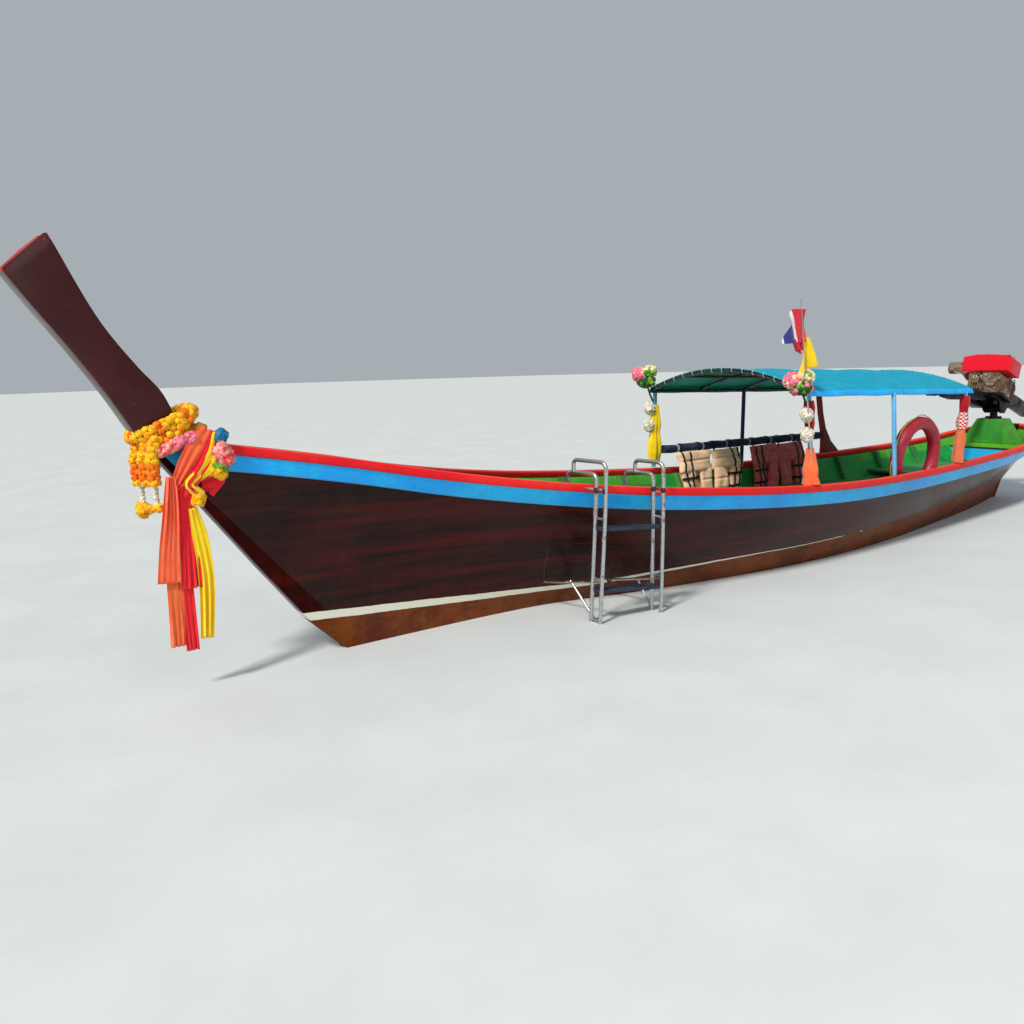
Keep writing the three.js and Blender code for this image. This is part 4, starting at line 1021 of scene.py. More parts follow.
def pleated_strip(line, widths, across, pleats, depth, seed):
    """A strip of cloth that follows a line and spreads across it; its pleats are waves square to it."""
    count, columns = 48, 33
    t = np.linspace(0, 1, count)
    centre = through(line, t)
    width = np.interp(t, np.linspace(0, 1, len(widths)), widths)
    tangent = unit(np.gradient(centre, axis=0))
    side = np.broadcast_to(np.asarray(across, float), centre.shape)
    side = side - tangent * np.sum(side * tangent, 1, keepdims=True)
    side = unit(side)
    normal = np.cross(tangent, side)
    s = np.linspace(-1, 1, columns)
    rng = np.random.default_rng(seed)
    phase = rng.uniform(0, 6.3, 4)
    wave = (np.cos(pleats * math.pi * s[None] + 0.8 * np.sin(3 * t[:, None] + phase[0]) + phase[1])
            + 0.4 * np.cos(2.3 * pleats * s[None] + phase[2] + 1.5 * t[:, None]))
    deep = depth * (0.55 + 0.45 * np.cos(5.2 * t + phase[3]))[:, None]
    points = (centre[:, None] + side[:, None] * (s[None, :, None] * width[:, None, None] / 2)
              + normal[:, None] * (wave * deep)[..., None])
    length = run(centre)
    spread = run(points[count // 2])
    uv = joined(spread[None], length[:, None])
    return grid(points, uv=uv)


def cloth_piece(name, surface, paint, slot, nodes=(), thickness=0.0012):
    """A sheet of cloth with its thickness."""
    made = thicken(make_piece(name, [surface], paint, slot, nodes, smooth=80), thickness, 0.0)


def build_prow_cloths():
    """Garlands of marigolds round the stem, a hanging wreath, and gathered scarves on the port side."""
    along = np.array([0.503, 0, 0.864])
    front = np.array([0.864, 0, -0.503])
    origin = np.array([4.800, 0, 1.285])
    surfaces = []
    a = np.linspace(0, 2 * math.pi, 61)
    for rise, reach_x, reach_y, radius, tilt in (
            (0.020, 0.148, 0.098, 0.032, 0.04), (0.072, 0.160, 0.108, 0.034, -0.02),
            (0.118, 0.156, 0.104, 0.032, 0.02)):
        c, s = np.cos(a), np.sin(a)
        loop = (origin + (rise + tilt * c)[:, None] * along + (reach_x * c)[:, None] * front
                + (reach_y * np.sign(s) * np.abs(s) ** 0.7)[:, None] * np.array([0, 1.0, 0]))
        surfaces += strand(loop, radius, 0.030, lambda t: 0 if int(t * 29) % 5 else 1, int(rise * 1000), 3)
    for k, y in enumerate((0.010, 0.066, 0.122)):
        drop = np.array([(4.975 - y * 0.4, y, 1.330), (5.005 - y * 0.4, y, 1.22), (5.003 - y * 0.4, y, 1.135),
                         (5.000 - y * 0.4, y, 1.085)])
        surfaces += strand(through(drop, 20), 0.030, 0.027,
                           lambda t: 0 if t < 0.55 or t > 0.9 else 1, 40 + k, 3)
    for k, y in enumerate((0.022, 0.118)):
        tassel = [(4.996 - y * 0.4, y, 1.075), (4.998 - y * 0.4, y, 1.03), (4.996 - y * 0.4, y, 0.985)]
        surfaces += strand(tassel, 0.012, 0.011, lambda t: 2, 60 + k, 3)
    # Columns: points of a string, its steps, radius and spacing of its balls, their petal up to 0.6 of its
    # length and after it, seed, balls round the string
    for points, steps, radius, step, first, second, seed, round_it in (
            ([(5.006, -0.020, 0.980), (4.975, 0.060, 0.966), (4.935, 0.150, 0.978)],
             16, 0.021, 0.019, 0, 0, 70, 3),
            ([(4.992, 0.020, 0.955), (4.986, 0.036, 0.955)], 2, 0.036, 0.02, 0, 0, 71, 4),
            ([(4.955, 0.080, 1.252), (4.905, 0.135, 1.262), (4.83, 0.150, 1.292), (4.74, 0.155, 1.318)],
             24, 0.030, 0.024, 3, 4, 80, 3),
            ([(4.640, 0.172, 1.262), (4.610, 0.178, 1.212), (4.602, 0.178, 1.176)],
             12, 0.046, 0.030, 3, 3, 90, 5),
            ([(4.630, 0.168, 1.165), (4.655, 0.168, 1.118)], 8, 0.044, 0.028, 5, 0, 91, 5),
            ([(4.625, 0.150, 1.322), (4.592, 0.160, 1.298)], 8, 0.036, 0.022, 6, 6, 92, 4),
            ([(4.755, 0.165, 1.020), (4.762, 0.168, 0.975)], 8, 0.034, 0.024, 0, 0, 93, 4)):
        surfaces += strand(through(points, steps), radius, step, lambda t: first if t < 0.6 else second, seed,
                           round_it)
    make_piece("prow_marigolds", surfaces, (
        "marigold", "amber", "white_petal", "rose_petal", "pink_petal", "green_petal", "blue_petal"),
        "garland", ["prow_garland"], smooth=60)

    up = (0.80, 0, 0.60)
    scarves = [
        ("scarf_coral_top", [(4.665, 0.150, 1.345), (4.735, 0.178, 1.270), (4.810, 0.180, 1.175),
                             (4.870, 0.165, 1.075)], (0.100, 0.120, 0.10, 0.05), up, 3, 0.007, "coral"),
        ("scarf_crimson_top", [(4.640, 0.148, 1.340), (4.700, 0.186, 1.215), (4.775, 0.190, 1.115),
                               (4.825, 0.172, 1.020)], (0.055, 0.070, 0.07, 0.06), up, 2, 0.006, "crimson"),
        ("scarf_yellow_top", [(4.615, 0.150, 1.322), (4.665, 0.188, 1.200), (4.745, 0.192, 1.130),
                              (4.800, 0.185, 1.085), (4.745, 0.180, 1.015)], (0.075, 0.095, 0.06, 0.05, 0.06),
         up, 2, 0.007, "yellow"),
        ("scarf_crimson_end", [(4.730, 0.158, 1.075), (4.672, 0.160, 1.070), (4.640, 0.160, 1.040)],
         (0.06, 0.11, 0.10), (0, 0, 1), 2, 0.006, "crimson"),
    ]
    lie = (1, 0, 0)
    scarves += [
        ("streamer_coral", [(4.888, 0.176, 1.130), (4.900, 0.172, 0.98), (4.920, 0.168, 0.80),
                            (4.938, 0.166, 0.590)], (0.045, 0.075, 0.100, 0.120), lie, 4, 0.009, "coral"),
        ("streamer_crimson", [(4.822, 0.170, 1.110), (4.820, 0.165, 0.95), (4.822, 0.160, 0.75),
                              (4.828, 0.158, 0.545)], (0.070, 0.085, 0.100, 0.118), lie, 4, 0.009, "crimson"),
        ("streamer_orange_long", [(4.900, 0.152, 0.85), (4.905, 0.152, 0.56), (4.912, 0.152, 0.250)],
         (0.07, 0.085, 0.078), lie, 3, 0.007, "orange_cloth"),
        ("streamer_crimson_long", [(4.850, 0.150, 0.85), (4.850, 0.150, 0.56), (4.842, 0.150, 0.215)],
         (0.06, 0.075, 0.068), lie, 3, 0.006, "crimson"),
        ("streamer_yellow", [(4.790, 0.172, 0.960), (4.765, 0.168, 0.82), (4.748, 0.165, 0.60),
                             (4.768, 0.164, 0.268)], (0.045, 0.080, 0.085, 0.072), lie, 3, 0.008, "yellow"),
    ]
    names = {"scarf_coral_top": ("prow_sashes",), "streamer_coral": ("prow_streamers",)}
    for k, (name, line, widths, across, pleats, depth, dye) in enumerate(scarves):
        strip = pleated_strip(line, widths, across, pleats, depth * 1.4, k + 5)
        cloth_piece(name, strip, dye, "cloth", names.get(name, ()))


def post_line(name):
    """Foot and top of a post, and the direction between them."""
    x0, y0, x1, y1 = POSTS[name]
    foot = np.array([x0, y0, cap_height(x0)])
    top = np.array([x1, y1, float(canopy_edge(x1)) - 0.045])
    return foot, top


def wrapped_cloth(foot, top, low, high, radii, pleats, seed):
    """Cloth gathered round a post: a tube whose radius follows a profile up the post and waves round it."""
    along = (top - foot) / np.linalg.norm(top - foot)
    t = np.linspace(0, 1, 40)
    length = np.linalg.norm(top - foot)
    centre = foot + along * (low + (high - low) * t)[:, None] * length
    a = np.linspace(0, 2 * math.pi, 49)[:-1]
    side, up = np.array([1.0, 0, 0]), np.cross(along, [1.0, 0, 0])
    rng = np.random.default_rng(seed)
    p = rng.uniform(0, 6.3, 3)
    radius = np.interp(t, np.linspace(0, 1, len(radii)), radii)[:, None]
    wave = 1 + 0.20 * np.cos(pleats * a[None] + 1.6 * t[:, None] + p[0]) + 0.09 * np.cos(
        (pleats * 2 + 1) * a[None] + p[1] - 2 * t[:, None])
    r = np.maximum(radius * wave, 0.0195)
    ring = np.cos(a)[None, :, None] * side + np.sin(a)[None, :, None] * up
    points = centre[:, None] + r[..., None] * ring
    girth = a[None] * radius.mean()
    uv = joined(girth, (t * (high - low) * length)[:, None])
    return grid(points, wrap_columns=True, uv=uv)


GOLDEN_ANGLE = 2.39996


def flower_blob(centre, radii, count, size, slots, seed):
    """Ruffled balls spread evenly over an ellipsoid."""
    k = np.arange(count)
    z = 1 - 2 * (k + 0.5) / count
    a = k * GOLDEN_ANGLE
    way = np.stack([np.sqrt(1 - z * z) * np.cos(a), np.sqrt(1 - z * z) * np.sin(a), z], 1)
    rng = np.random.default_rng(seed)
    places = np.asarray(centre) + way * np.asarray(radii) * rng.uniform(0.72, 0.95, (count, 1))
    return scattered(places, size * rng.uniform(0.8, 1.2, count), way, list(rng.choice(slots, count)), seed)


def build_post_cloths():
    """Cloths tied to three posts, strings of white flowers, and a bouquet at each front corner."""
    sets = {
        "port_front": [(0.005, 0.42, (0.060, 0.050, 0.056, 0.046, 0.036, 0.024), 4, "orange_cloth"),
                       (0.60, 0.95, (0.024, 0.034, 0.030, 0.036, 0.030), 4, "maroon_cloth")],
        "port_rear": [(0.015, 0.50, (0.044, 0.042, 0.040, 0.042, 0.036, 0.026), 5, "peach_cloth"),
                      (0.50, 0.74, (0.034, 0.042, 0.038, 0.030), 5, "check_cloth"),
                      (0.74, 0.97, (0.032, 0.042, 0.034), 4, "maroon_cloth")],
        "starboard_front": [(0.10, 0.84, (0.044, 0.058, 0.056, 0.038, 0.046, 0.032, 0.026), 3, "yellow")],
    }
    for name, wraps in sets.items():
        foot, top = post_line(name)
        for k, (low, high, radii, pleats, dye) in enumerate(wraps):
            wrap = wrapped_cloth(foot, top, low, high, radii, pleats, k + len(name))
            made = make_piece(f"cloth_{name}_{k + 1}", [wrap], dye, "cloth",
                              () if k else [f"post_cloth_{name}"], smooth=80)
            thicken(made, 0.0012, 0.0)
    strings = []
    for name, forward in (("port_front", 0.052), ("starboard_front", 0.055)):
        foot, top = post_line(name)
        for k, share in enumerate((0.80, 0.57)):
            centre = foot + (top - foot) * share + np.array([forward, 0.012 * np.sign(foot[1]), 0])
            strings += flower_blob(centre, (0.040, 0.040, 0.052), 44, 0.017, [0], k + 3)
    make_piece("white_flower_strings", strings, "white_petal", "flowers", smooth=60)
    for side, y, z, more in (("port", 0.767, 1.432, 0), ("starboard", -0.767, 1.470, 10)):
        centre = np.array([CANOPY_FRONT + 0.0705, y, z])
        balls = []
        # Columns: shift, half sizes, number and size of the flowers, their petals, seed
        for shift, radii, count, size, petals, seed in (
                ((0.014, -0.030, 0.004), (0.058, 0.070, 0.060), 70, 0.022, [0, 0, 0, 3, 1], 9),
                ((-0.022, 0.040, 0.030), (0.054, 0.060, 0.048), 40, 0.020, [1, 1, 1, 2], 5),
                ((-0.004, 0.016, -0.050), (0.056, 0.088, 0.044), 50, 0.021, [4, 4, 2, 0], 6)):
            balls += flower_blob(centre + shift, radii, count, size, petals, seed + more)
        stem = through([(0.4674, y, 1.25), (0.50, y, 1.31), (0.56, y, z - 0.02)], 12)
        balls += tube(stem, 0.008, 8, slot=4)
        make_piece(f"posy_{side}", balls, ("pink_petal", "cream_petal", "green_petal", "rose_petal", "leaf"),
                   "flowers", [f"bouquet_{side}"], smooth=60)


def build_flags(radius):
    """A thin pole with a striped flag and a pennant, both hanging in soft folds."""
    foot, top = np.array([0.451, 0.820, 0.740]), np.array([0.640, 0.820, 2.000])
    pole = tube(np.linspace(foot, top, 20), radius, 12)
    knob = [(0, 0.0075), (0.004, 0.0085), (0.0075, 0.004)]
    pole += turned(top - [0, 0, 0.004], top + [0, 0, 0.004], knob, 12)
    make_piece("flag_staff", pole, "white_pole", "flag", ["flag_pole"])
    v = np.linspace(0, 1, 41)[:, None]
    u = np.linspace(-1, 1, 65)[None]
    line = foot + (top - foot) * np.linspace(0.951, 0.770, 41)[:, None]
    left = np.interp(v, [0, 0.2, 0.5, 0.8, 1], [0.092, 0.125, 0.176, 0.206, 0.215])
    right = np.interp(v, [0, 0.35, 0.8, 1], [0.062, 0.046, 0.008, 0.004])
    reach = np.where(u > 0, left * u, right * u)
    points = joined(line[:, :1] + reach, 0.820, line[:, 2:])
    wave = 0.022 * np.sin(46 * reach + 1.4 * v) * np.abs(u) ** 0.6
    points[..., 1] += wave + 0.004 * np.sin(90 * reach - 3 * v)
    points[..., 2] -= 0.30 * np.maximum(reach - 0.09, 0) * (1 - v) + 0.05 * np.abs(reach) * v
    edge = np.interp(v, [0, 0.3, 1], [0.100, 0.078, 0.062])
    stripe = np.interp(reach - edge, [-0.3, 0, 0.044, 0.130, 0.155], [0.0, 0.155, 0.31, 0.67, 0.75])
    flag = grid(points, 0, uv=joined(reach, stripe))
    low = foot + (top - foot) * np.linspace(0.785, 0.715, 13)[:, None]
    fold = np.linspace(0, 1, 33)[None]
    fall = np.linspace(0, 1, 13)[:, None]
    under = joined(low[:, :1] + 0.004 + (0.100 - 0.045 * fall) * fold, 0.806, low[:, 2:])
    under[..., 1] += 0.014 * np.sin(17 * fold)
    under[..., 2] += fall * 0.016 * np.sin(9 * fold + 0.6)
    tail = grid(under, 0, uv=joined(fold, 0.93) + np.zeros((13, 33, 2)))
    made = thicken(make_piece("striped_flag", [flag, tail], "flag", "flag", smooth=80), 0.0008, 0.0)
    s, t = np.linspace(0, 1, 49)[:, None], np.linspace(0, 1, 41)[None]
    upper = np.array([(0.546, 0.82, 1.740), (0.520, 0.82, 1.690), (0.490, 0.82, 1.615), (0.463, 0.82, 1.535)])
    lower = np.array([(0.603, 0.82, 1.740), (0.618, 0.82, 1.660), (0.645, 0.82, 1.570), (0.672, 0.82, 1.500)])
    a, b = through(upper, s[:, 0]), through(lower, s[:, 0])
    points = a[:, None] * (1 - t[..., None]) + b[:, None] * t[..., None]
    points[..., 1] += 0.012 + 0.018 * np.sin(2.2 * s + 7 * t) * (0.3 + s)
    cloth_piece("yellow_pennant", grid(points), "yellow", "flag", thickness=0.0008)


# Roll, life jackets and life ring
ROLL_ENDS = np.array([(-1.870, -0.724, 0.786), (0.385, -0.724, 0.832)])
ROLL_RADIUS = 0.036
ROLL_TIES = 7
# Columns: front and rear of each jacket, its cloth; the last two take a darker copy of the peach cloth,
# painted shade for the canopy's shadow on them
JACKETS = [(0.270, -0.140, "peach_jacket"), (-0.160, -0.560, "peach_jacket"),
           (-0.720, -1.100, "maroon_jacket"), (-1.090, -1.510, "maroon_jacket")]


def roll_top(x):
    """Height of the rolled curtain's top at x."""
    return np.interp(x, ROLL_ENDS[:, 0], ROLL_ENDS[:, 2]) + ROLL_RADIUS


def build_roll():
    """The side curtain rolled up and tied: a spiral section whose radius swells between its ties."""
    t = np.linspace(0, 1, 161)
    path = ROLL_ENDS[0] + (ROLL_ENDS[1] - ROLL_ENDS[0]) * t[:, None]
    a = np.linspace(0, 2 * math.pi, 37)[:-1]
    swell = 1 - 0.16 * np.exp(-((((t * ROLL_TIES) % 1) - 0.5) / 0.09) ** 2)
    lap = 1 - 0.10 * (a / (2 * math.pi))
    wave = 0.05 * np.sin(3 * a[None] + 40 * t[:, None]) + 0.03 * np.sin(5 * a[None] - 63 * t[:, None])
    r = ROLL_RADIUS * swell[:, None] * (lap[None] + wave) + 0.0015
    points = path[:, None] + r[..., None] * (np.cos(a)[None, :, None] * np.array([0, 1.0, 0])
                                             + np.sin(a)[None, :, None] * np.array([0, 0, 1.0]))
    ends = [fan(points[k], points[k].mean(0)) for k in (0, -1)]
    roll = make_piece("rolled_curtain", [grid(points, wrap_columns=True), *ends], "navy_cloth", "roll_cloth",
                      ["side_roll"], smooth=60)
    ties = []
    b = np.linspace(0, 2 * math.pi, 25)[:, None]
    loop = 0.0335 * (np.cos(b) * [0, 1, 0] + np.sin(b) * [0, 0, 1])
    for k in range(ROLL_TIES):
        centre = ROLL_ENDS[0] + (ROLL_ENDS[1] - ROLL_ENDS[0]) * (k + 0.5) / ROLL_TIES
        for off in (-0.006, 0.006):
            ties += tube(centre + [off, 0, 0] + loop, CORD_RADIUS, 6, closed=True)
    make_piece("curtain_ties", ties, "white_cord", "roll_cloth")


def foam_panel(x0, x1, line, thick, seams, lean, seed):
    """A foam panel in its cover: it follows a line down in the y-z plane, swells between its rim and its sewn
    channels, and leans to one side as it goes down."""
    columns = 25
    u, v = np.linspace(-1, 1, columns)[None], np.linspace(0, 1, len(line))[:, None]
    tangent = unit(np.gradient(line, axis=0))
    normal = np.stack([np.zeros(len(line)), -tangent[:, 1], tangent[:, 0]], 1)
    rng = np.random.default_rng(seed)
    body = (1 - np.abs(u) ** 5) ** 0.5 * (1 - np.abs(2 * v - 1) ** 7) ** 0.5
    channels = 1 - sum(0.45 * np.exp(-((v - s) / 0.03) ** 2) for s in seams)
    x = (x0 + x1) / 2 + u * (x1 - x0) / 2 * (1 + 0.05 * np.sin(7 * v + seed)) + lean * v
    sag = 0.008 * np.sin(5 * v + rng.uniform(0, 6) + 1.4 * u)
    middle = joined(x, line[:, None, 0], line[:, None, 1])
    middle = middle + normal[:, None] * sag[..., None]
    offset = normal[:, None] * (thick / 2 * body * channels)[..., None]
    wrinkle = normal[:, None] * 0.0028 * rough(middle, 60, seed)[..., None] * (body > 0.3)[..., None]
    uv = joined(u * (x1 - x0) / 2, v * 0.4)
    face = middle + offset + wrinkle
    return [grid(face, 0, uv=uv), grid(middle - offset, 0, uv=uv).flipped()], face


def strap(points, across, width, thick, slot=1):
    """A flat strap: four lines carried along the points, set across by its width and out by its thickness."""
    points = np.asarray(points, float)
    across = np.broadcast_to(np.asarray(across, float), points.shape)
    tangent = unit(np.gradient(points, axis=0))
    side = across - tangent * np.sum(across * tangent, 1, keepdims=True)
    side = unit(side)
    out = np.cross(tangent, side)
    ring = np.stack([points + side * sx * width / 2 + out * sy * thick / 2
                     for sx, sy in ((-1, -1), (1, -1), (1, 1), (-1, 1))], 1)
    length = run(points)
    uv = joined(np.array([0, 1, 1, 0])[None] * width, length[:, None])
    return [grid(ring, slot, wrap_columns=True, uv=uv), fan(ring[0], ring[0].mean(0), slot),
            fan(ring[-1], ring[-1].mean(0), slot)]


def build_jackets():
    """Each jacket hangs by two straps from the roll: a wide yoke, two panels below it that splay, a shorter
    one behind them, and black webbing down and across."""
    for k, (x1, x0, dye) in enumerate(JACKETS):
        top, width = float(roll_top((x0 + x1) / 2)) - 0.070, x1 - x0
        rng = np.random.default_rng(k + 3)
        yoke_line = through([(-0.676, top), (-0.658, top - 0.045), (-0.645, top - 0.11),
                             (-0.636, top - 0.175)], 25)
        lower_line = through([(-0.640, top - 0.150), (-0.626, top - 0.24), (-0.620, top - 0.33),
                              (-0.618, top - 0.420)], 33)
        back_line = lower_line[:24] - [0.038, 0]
        parts, yoke = foam_panel(x0, x1, yoke_line, 0.064, (0.5,), 0.0, k + 20)
        straps, faces = [], []
        for n, (a, b, lean) in enumerate(((0.02, 0.40, rng.uniform(-0.02, 0.05)),
                                          (0.57, 0.97, rng.uniform(-0.05, 0.01)))):
            made, face = foam_panel(x0 + a * width, x0 + b * width, lower_line, 0.048, (0.38, 0.72), lean,
                                    k * 2 + n)
            parts += made
            faces.append(face)
        parts += foam_panel(x0 + 0.30 * width, x0 + 0.68 * width, back_line, 0.036, (0.6,), 0.0, k + 40)[0]
        for column in ((16, 21) if k % 2 == 0 else (3, 8)):
            straps += strap(yoke[1:-1, column] + [0, 0.003, 0], (1, 0, 0), 0.020, 0.003)
        for face in (faces[1:] if k % 2 == 0 else faces[:1]):
            for column in (6, 16):
                straps += strap(face[3:-3, column] + [0, 0.003, 0], (1, 0, 0), 0.020, 0.003)
            for row in (9, 22):
                straps += strap(face[row] + [0, 0.004, 0], (0, 0, 1), 0.022, 0.003)
        for share in (0.22, 0.78):
            x = x0 + share * width
            a = np.radians(np.linspace(-60, 230, 25))
            centre = roll_top(x) - 0.036
            loop = np.stack([np.full(25, x), -0.724 + 0.0405 * np.cos(a), centre + 0.0405 * np.sin(a)], 1)
            loop = np.vstack([[(x, -0.668, top - 0.02)], loop])
            straps += strap(loop, (1, 0, 0), 0.022, 0.003)
        for row in (9, 22):
            left, right = faces[0][row, -1], faces[1][row, 0]
            web = left + (right - left) * np.linspace(0, 1, 7)[:, None]
            buckle = (left + right) / 2 + np.linspace(-0.02, 0.02, 3)[:, None] * [1.0, 0, 0]
            straps += strap(web, (0, 0, 1), 0.020, 0.003) + strap(buckle, (0, 0, 1), 0.032, 0.012, 2)
        # The rear jackets take the darker copy of the peach cloth: painted shade from the canopy
        slot = "jacket_peach" if dye == "peach_jacket" else "jacket_maroon"
        jacket = make_piece(f"jacket_{k + 1}", parts, dye, slot, [f"life_jacket_{k + 1}"], smooth=60)
        make_piece(f"jacket_webbing_{k + 1}", straps, ("webbing", "webbing", "black_plastic"), "jacket_peach",
                   smooth=40)


RING_LEAN = math.radians(6)
RING_RADIUS = 0.292
GRAB_LINE_REACH = 0.3535
RING_CENTRE = np.array([-1.232, 0.634 + RING_RADIUS * math.sin(RING_LEAN),
                        0.4287 + RING_RADIUS * math.cos(RING_LEAN)])


def ring_points(angle, reach, out=0.0):
    """Points round the life ring in its leaning plane, at a distance from its centre and square to it."""
    up = np.array([0, math.sin(RING_LEAN), math.cos(RING_LEAN)])
    face = np.array([0, math.cos(RING_LEAN), -math.sin(RING_LEAN)])
    angle, reach, out = np.broadcast_arrays(angle, reach, out)
    return (RING_CENTRE + (reach * np.cos(angle))[..., None] * np.array([1.0, 0, 0])
            + (reach * np.sin(angle))[..., None] * up + out[..., None] * face)


def build_ring(rope_radius):
    """A life ring: a round section turned about the centre, a little fatter in four short places, with a
    grab line outside it."""
    section = np.linspace(0, 2 * math.pi, 33)[:-1]
    seam = 1 - 0.012 * np.exp(-((section - math.pi) / 0.06) ** 2)
    cover = []
    edges = np.radians([40, 50, 130, 140, 220, 230, 310, 320, 400])
    for k, (a, b) in enumerate(zip(edges[:-1], edges[1:])):
        turn, fat = np.linspace(a, b, 25 if k % 2 else 9), 0.0547 if k % 2 else 0.0560
        cover.append(grid(ring_points(turn[:, None], RING_RADIUS + fat * np.cos(section)[None],
                                      fat * np.sin(section)[None] * seam[None]), wrap_columns=True))
    make_piece("life_ring_foam", cover, "ring", "ring", ["life_ring"], smooth=60)
    a = np.linspace(0, 2 * math.pi, 241)
    slack = np.abs(np.sin((a - math.radians(45)) * 2))
    line = ring_points(a, GRAB_LINE_REACH + 0.006 * slack, 0.008 * np.sin(a * 6))
    make_piece("ring_grab_line", tube(line, rope_radius, 10, closed=True), "yellow_rope", "ring")


# Ladder
LADDER_TUBE = 0.013
KNEE_DROP, LEG_DROP = 0.33, 0.74
# Columns: name, x, top, y of the inboard legs, y of the outer tube at hook, knee and foot, of the inner tube
LADDER_SIDES = [
    ("fore", 2.480, 1.022, 0.425, 0.480, 0.778, 0.762, 0.702, 0.691, 0.674, 0.617),
    ("aft", 2.005, 0.980, 0.462, 0.547, 0.800, 0.795, 0.772, 0.713, 0.707, 0.687),
]


def build_ladder():
    """Bent stainless tubes with their links and stays, feet, straps, and dark treads."""
    for name, x, top, leg, rise, hook, knee, foot, in_hook, in_knee, in_foot in LADDER_SIDES:
        outer = rounded_route([(x, rise, top - 0.078), (x, rise, top), (x, hook, top),
                               (x, knee, top - KNEE_DROP), (x, foot, top - 1.07)], 0.055, 9)
        inner = rounded_route([(x, leg, top - 0.215), (x, leg, top - 0.078), (x, in_hook, top - 0.078),
                               (x, in_knee, top - KNEE_DROP), (x, in_foot, top - 1.085)], 0.045, 9)
        parts = tube(outer, LADDER_TUBE, 20) + tube(inner, LADDER_TUBE, 20)

        def below(start, end, drop):
            """How far out a tube is at a drop below the ladder's top."""
            return start + (end - start) * (drop - KNEE_DROP) / LEG_DROP

        rods = [((x, below(in_knee, in_foot, d), top - d), (x, below(knee, foot, d), top - d), 0.008)
                for d in (0.35, 0.735, 1.0)]
        cap_z = cap_height(x) - 0.022
        rods.append(((x, in_hook - 0.110, cap_z), (x, hook - 0.006, cap_z), 0.007))
        arm_z = top - 0.845
        reach = hull_breadth(x, arm_z) - 0.004
        rods.append(((x, reach, arm_z), (x, below(knee, foot, 0.75), arm_z + 0.095), 0.008))
        rods.append(((x, reach + 0.270, arm_z + 0.055), (x, below(in_knee, in_foot, 0.97), top - 0.97),
                     0.008))
        for a, b, r in rods:
            parts += tube(np.linspace(a, b, 5), r, 14)
        make_piece(f"ladder_tubes_{name}", parts, "stainless", "stainless", [f"ladder_side_{name}"],
                   smooth=50)
        soft = turned((x, reach - 0.002, arm_z), (x, reach + 0.008, arm_z + 0.002),
                      [(0, 0.024), (0.006, 0.022)], 18)
        for route in (outer, inner):
            end = route[-1]
            way = (end - route[-2]) / np.linalg.norm(end - route[-2])
            soft += turned(end - way * 0.045, end + way * 0.004,
                           [(0, 0.0145), (0.003, 0.0165), (0.043, 0.0165), (0.049, 0.0135)], 20)
        for route in (outer, inner):
            z = top - 0.175
            y = route[np.argmin(np.abs(route[:, 2] - z) + (route[:, 1] < 0.6)), 1]
            soft += turned((x, y, z - 0.016), (x, y, z + 0.016),
                           [(0, 0.0138), (0.002, 0.0158), (0.030, 0.0158), (0.032, 0.0138)], 18)
        make_piece(f"ladder_rubber_{name}", soft, "rubber", "tread", smooth=50)
    for step in ("upper", "middle", "lower"):
        planed(f"ladder_tread_{step}", "tread", 0.003)


# Engine
def engine_space(points):
    """Points given level with the pivot as origin, tipped to the engine's rest angle."""
    c, s = math.cos(REST_TILT), math.sin(REST_TILT)
    p = np.asarray(points, float)
    return np.stack([p[..., 0] * c - p[..., 2] * s, p[..., 1], p[..., 0] * s + p[..., 2] * c], -1) + PIVOT


def tipped(surfaces):
    """Surfaces given level with the pivot as origin, brought to the engine's rest."""
    for s in surfaces:
        s.points = engine_space(s.points)
    return surfaces


def bolt(at, way, radius=0.009, head=0.006):
    """A six-sided bolt head on its washer."""
    at, way = np.asarray(at, float), np.asarray(way, float)
    washer = turned(at, at + way, [(0, radius * 1.35), (0.0012, radius * 1.35), (0.0016, radius * 1.1)], 16)
    return washer + turned(at, at + way, [(0.0014, radius), (head * 0.8, radius), (head, radius * 0.82)], 6)


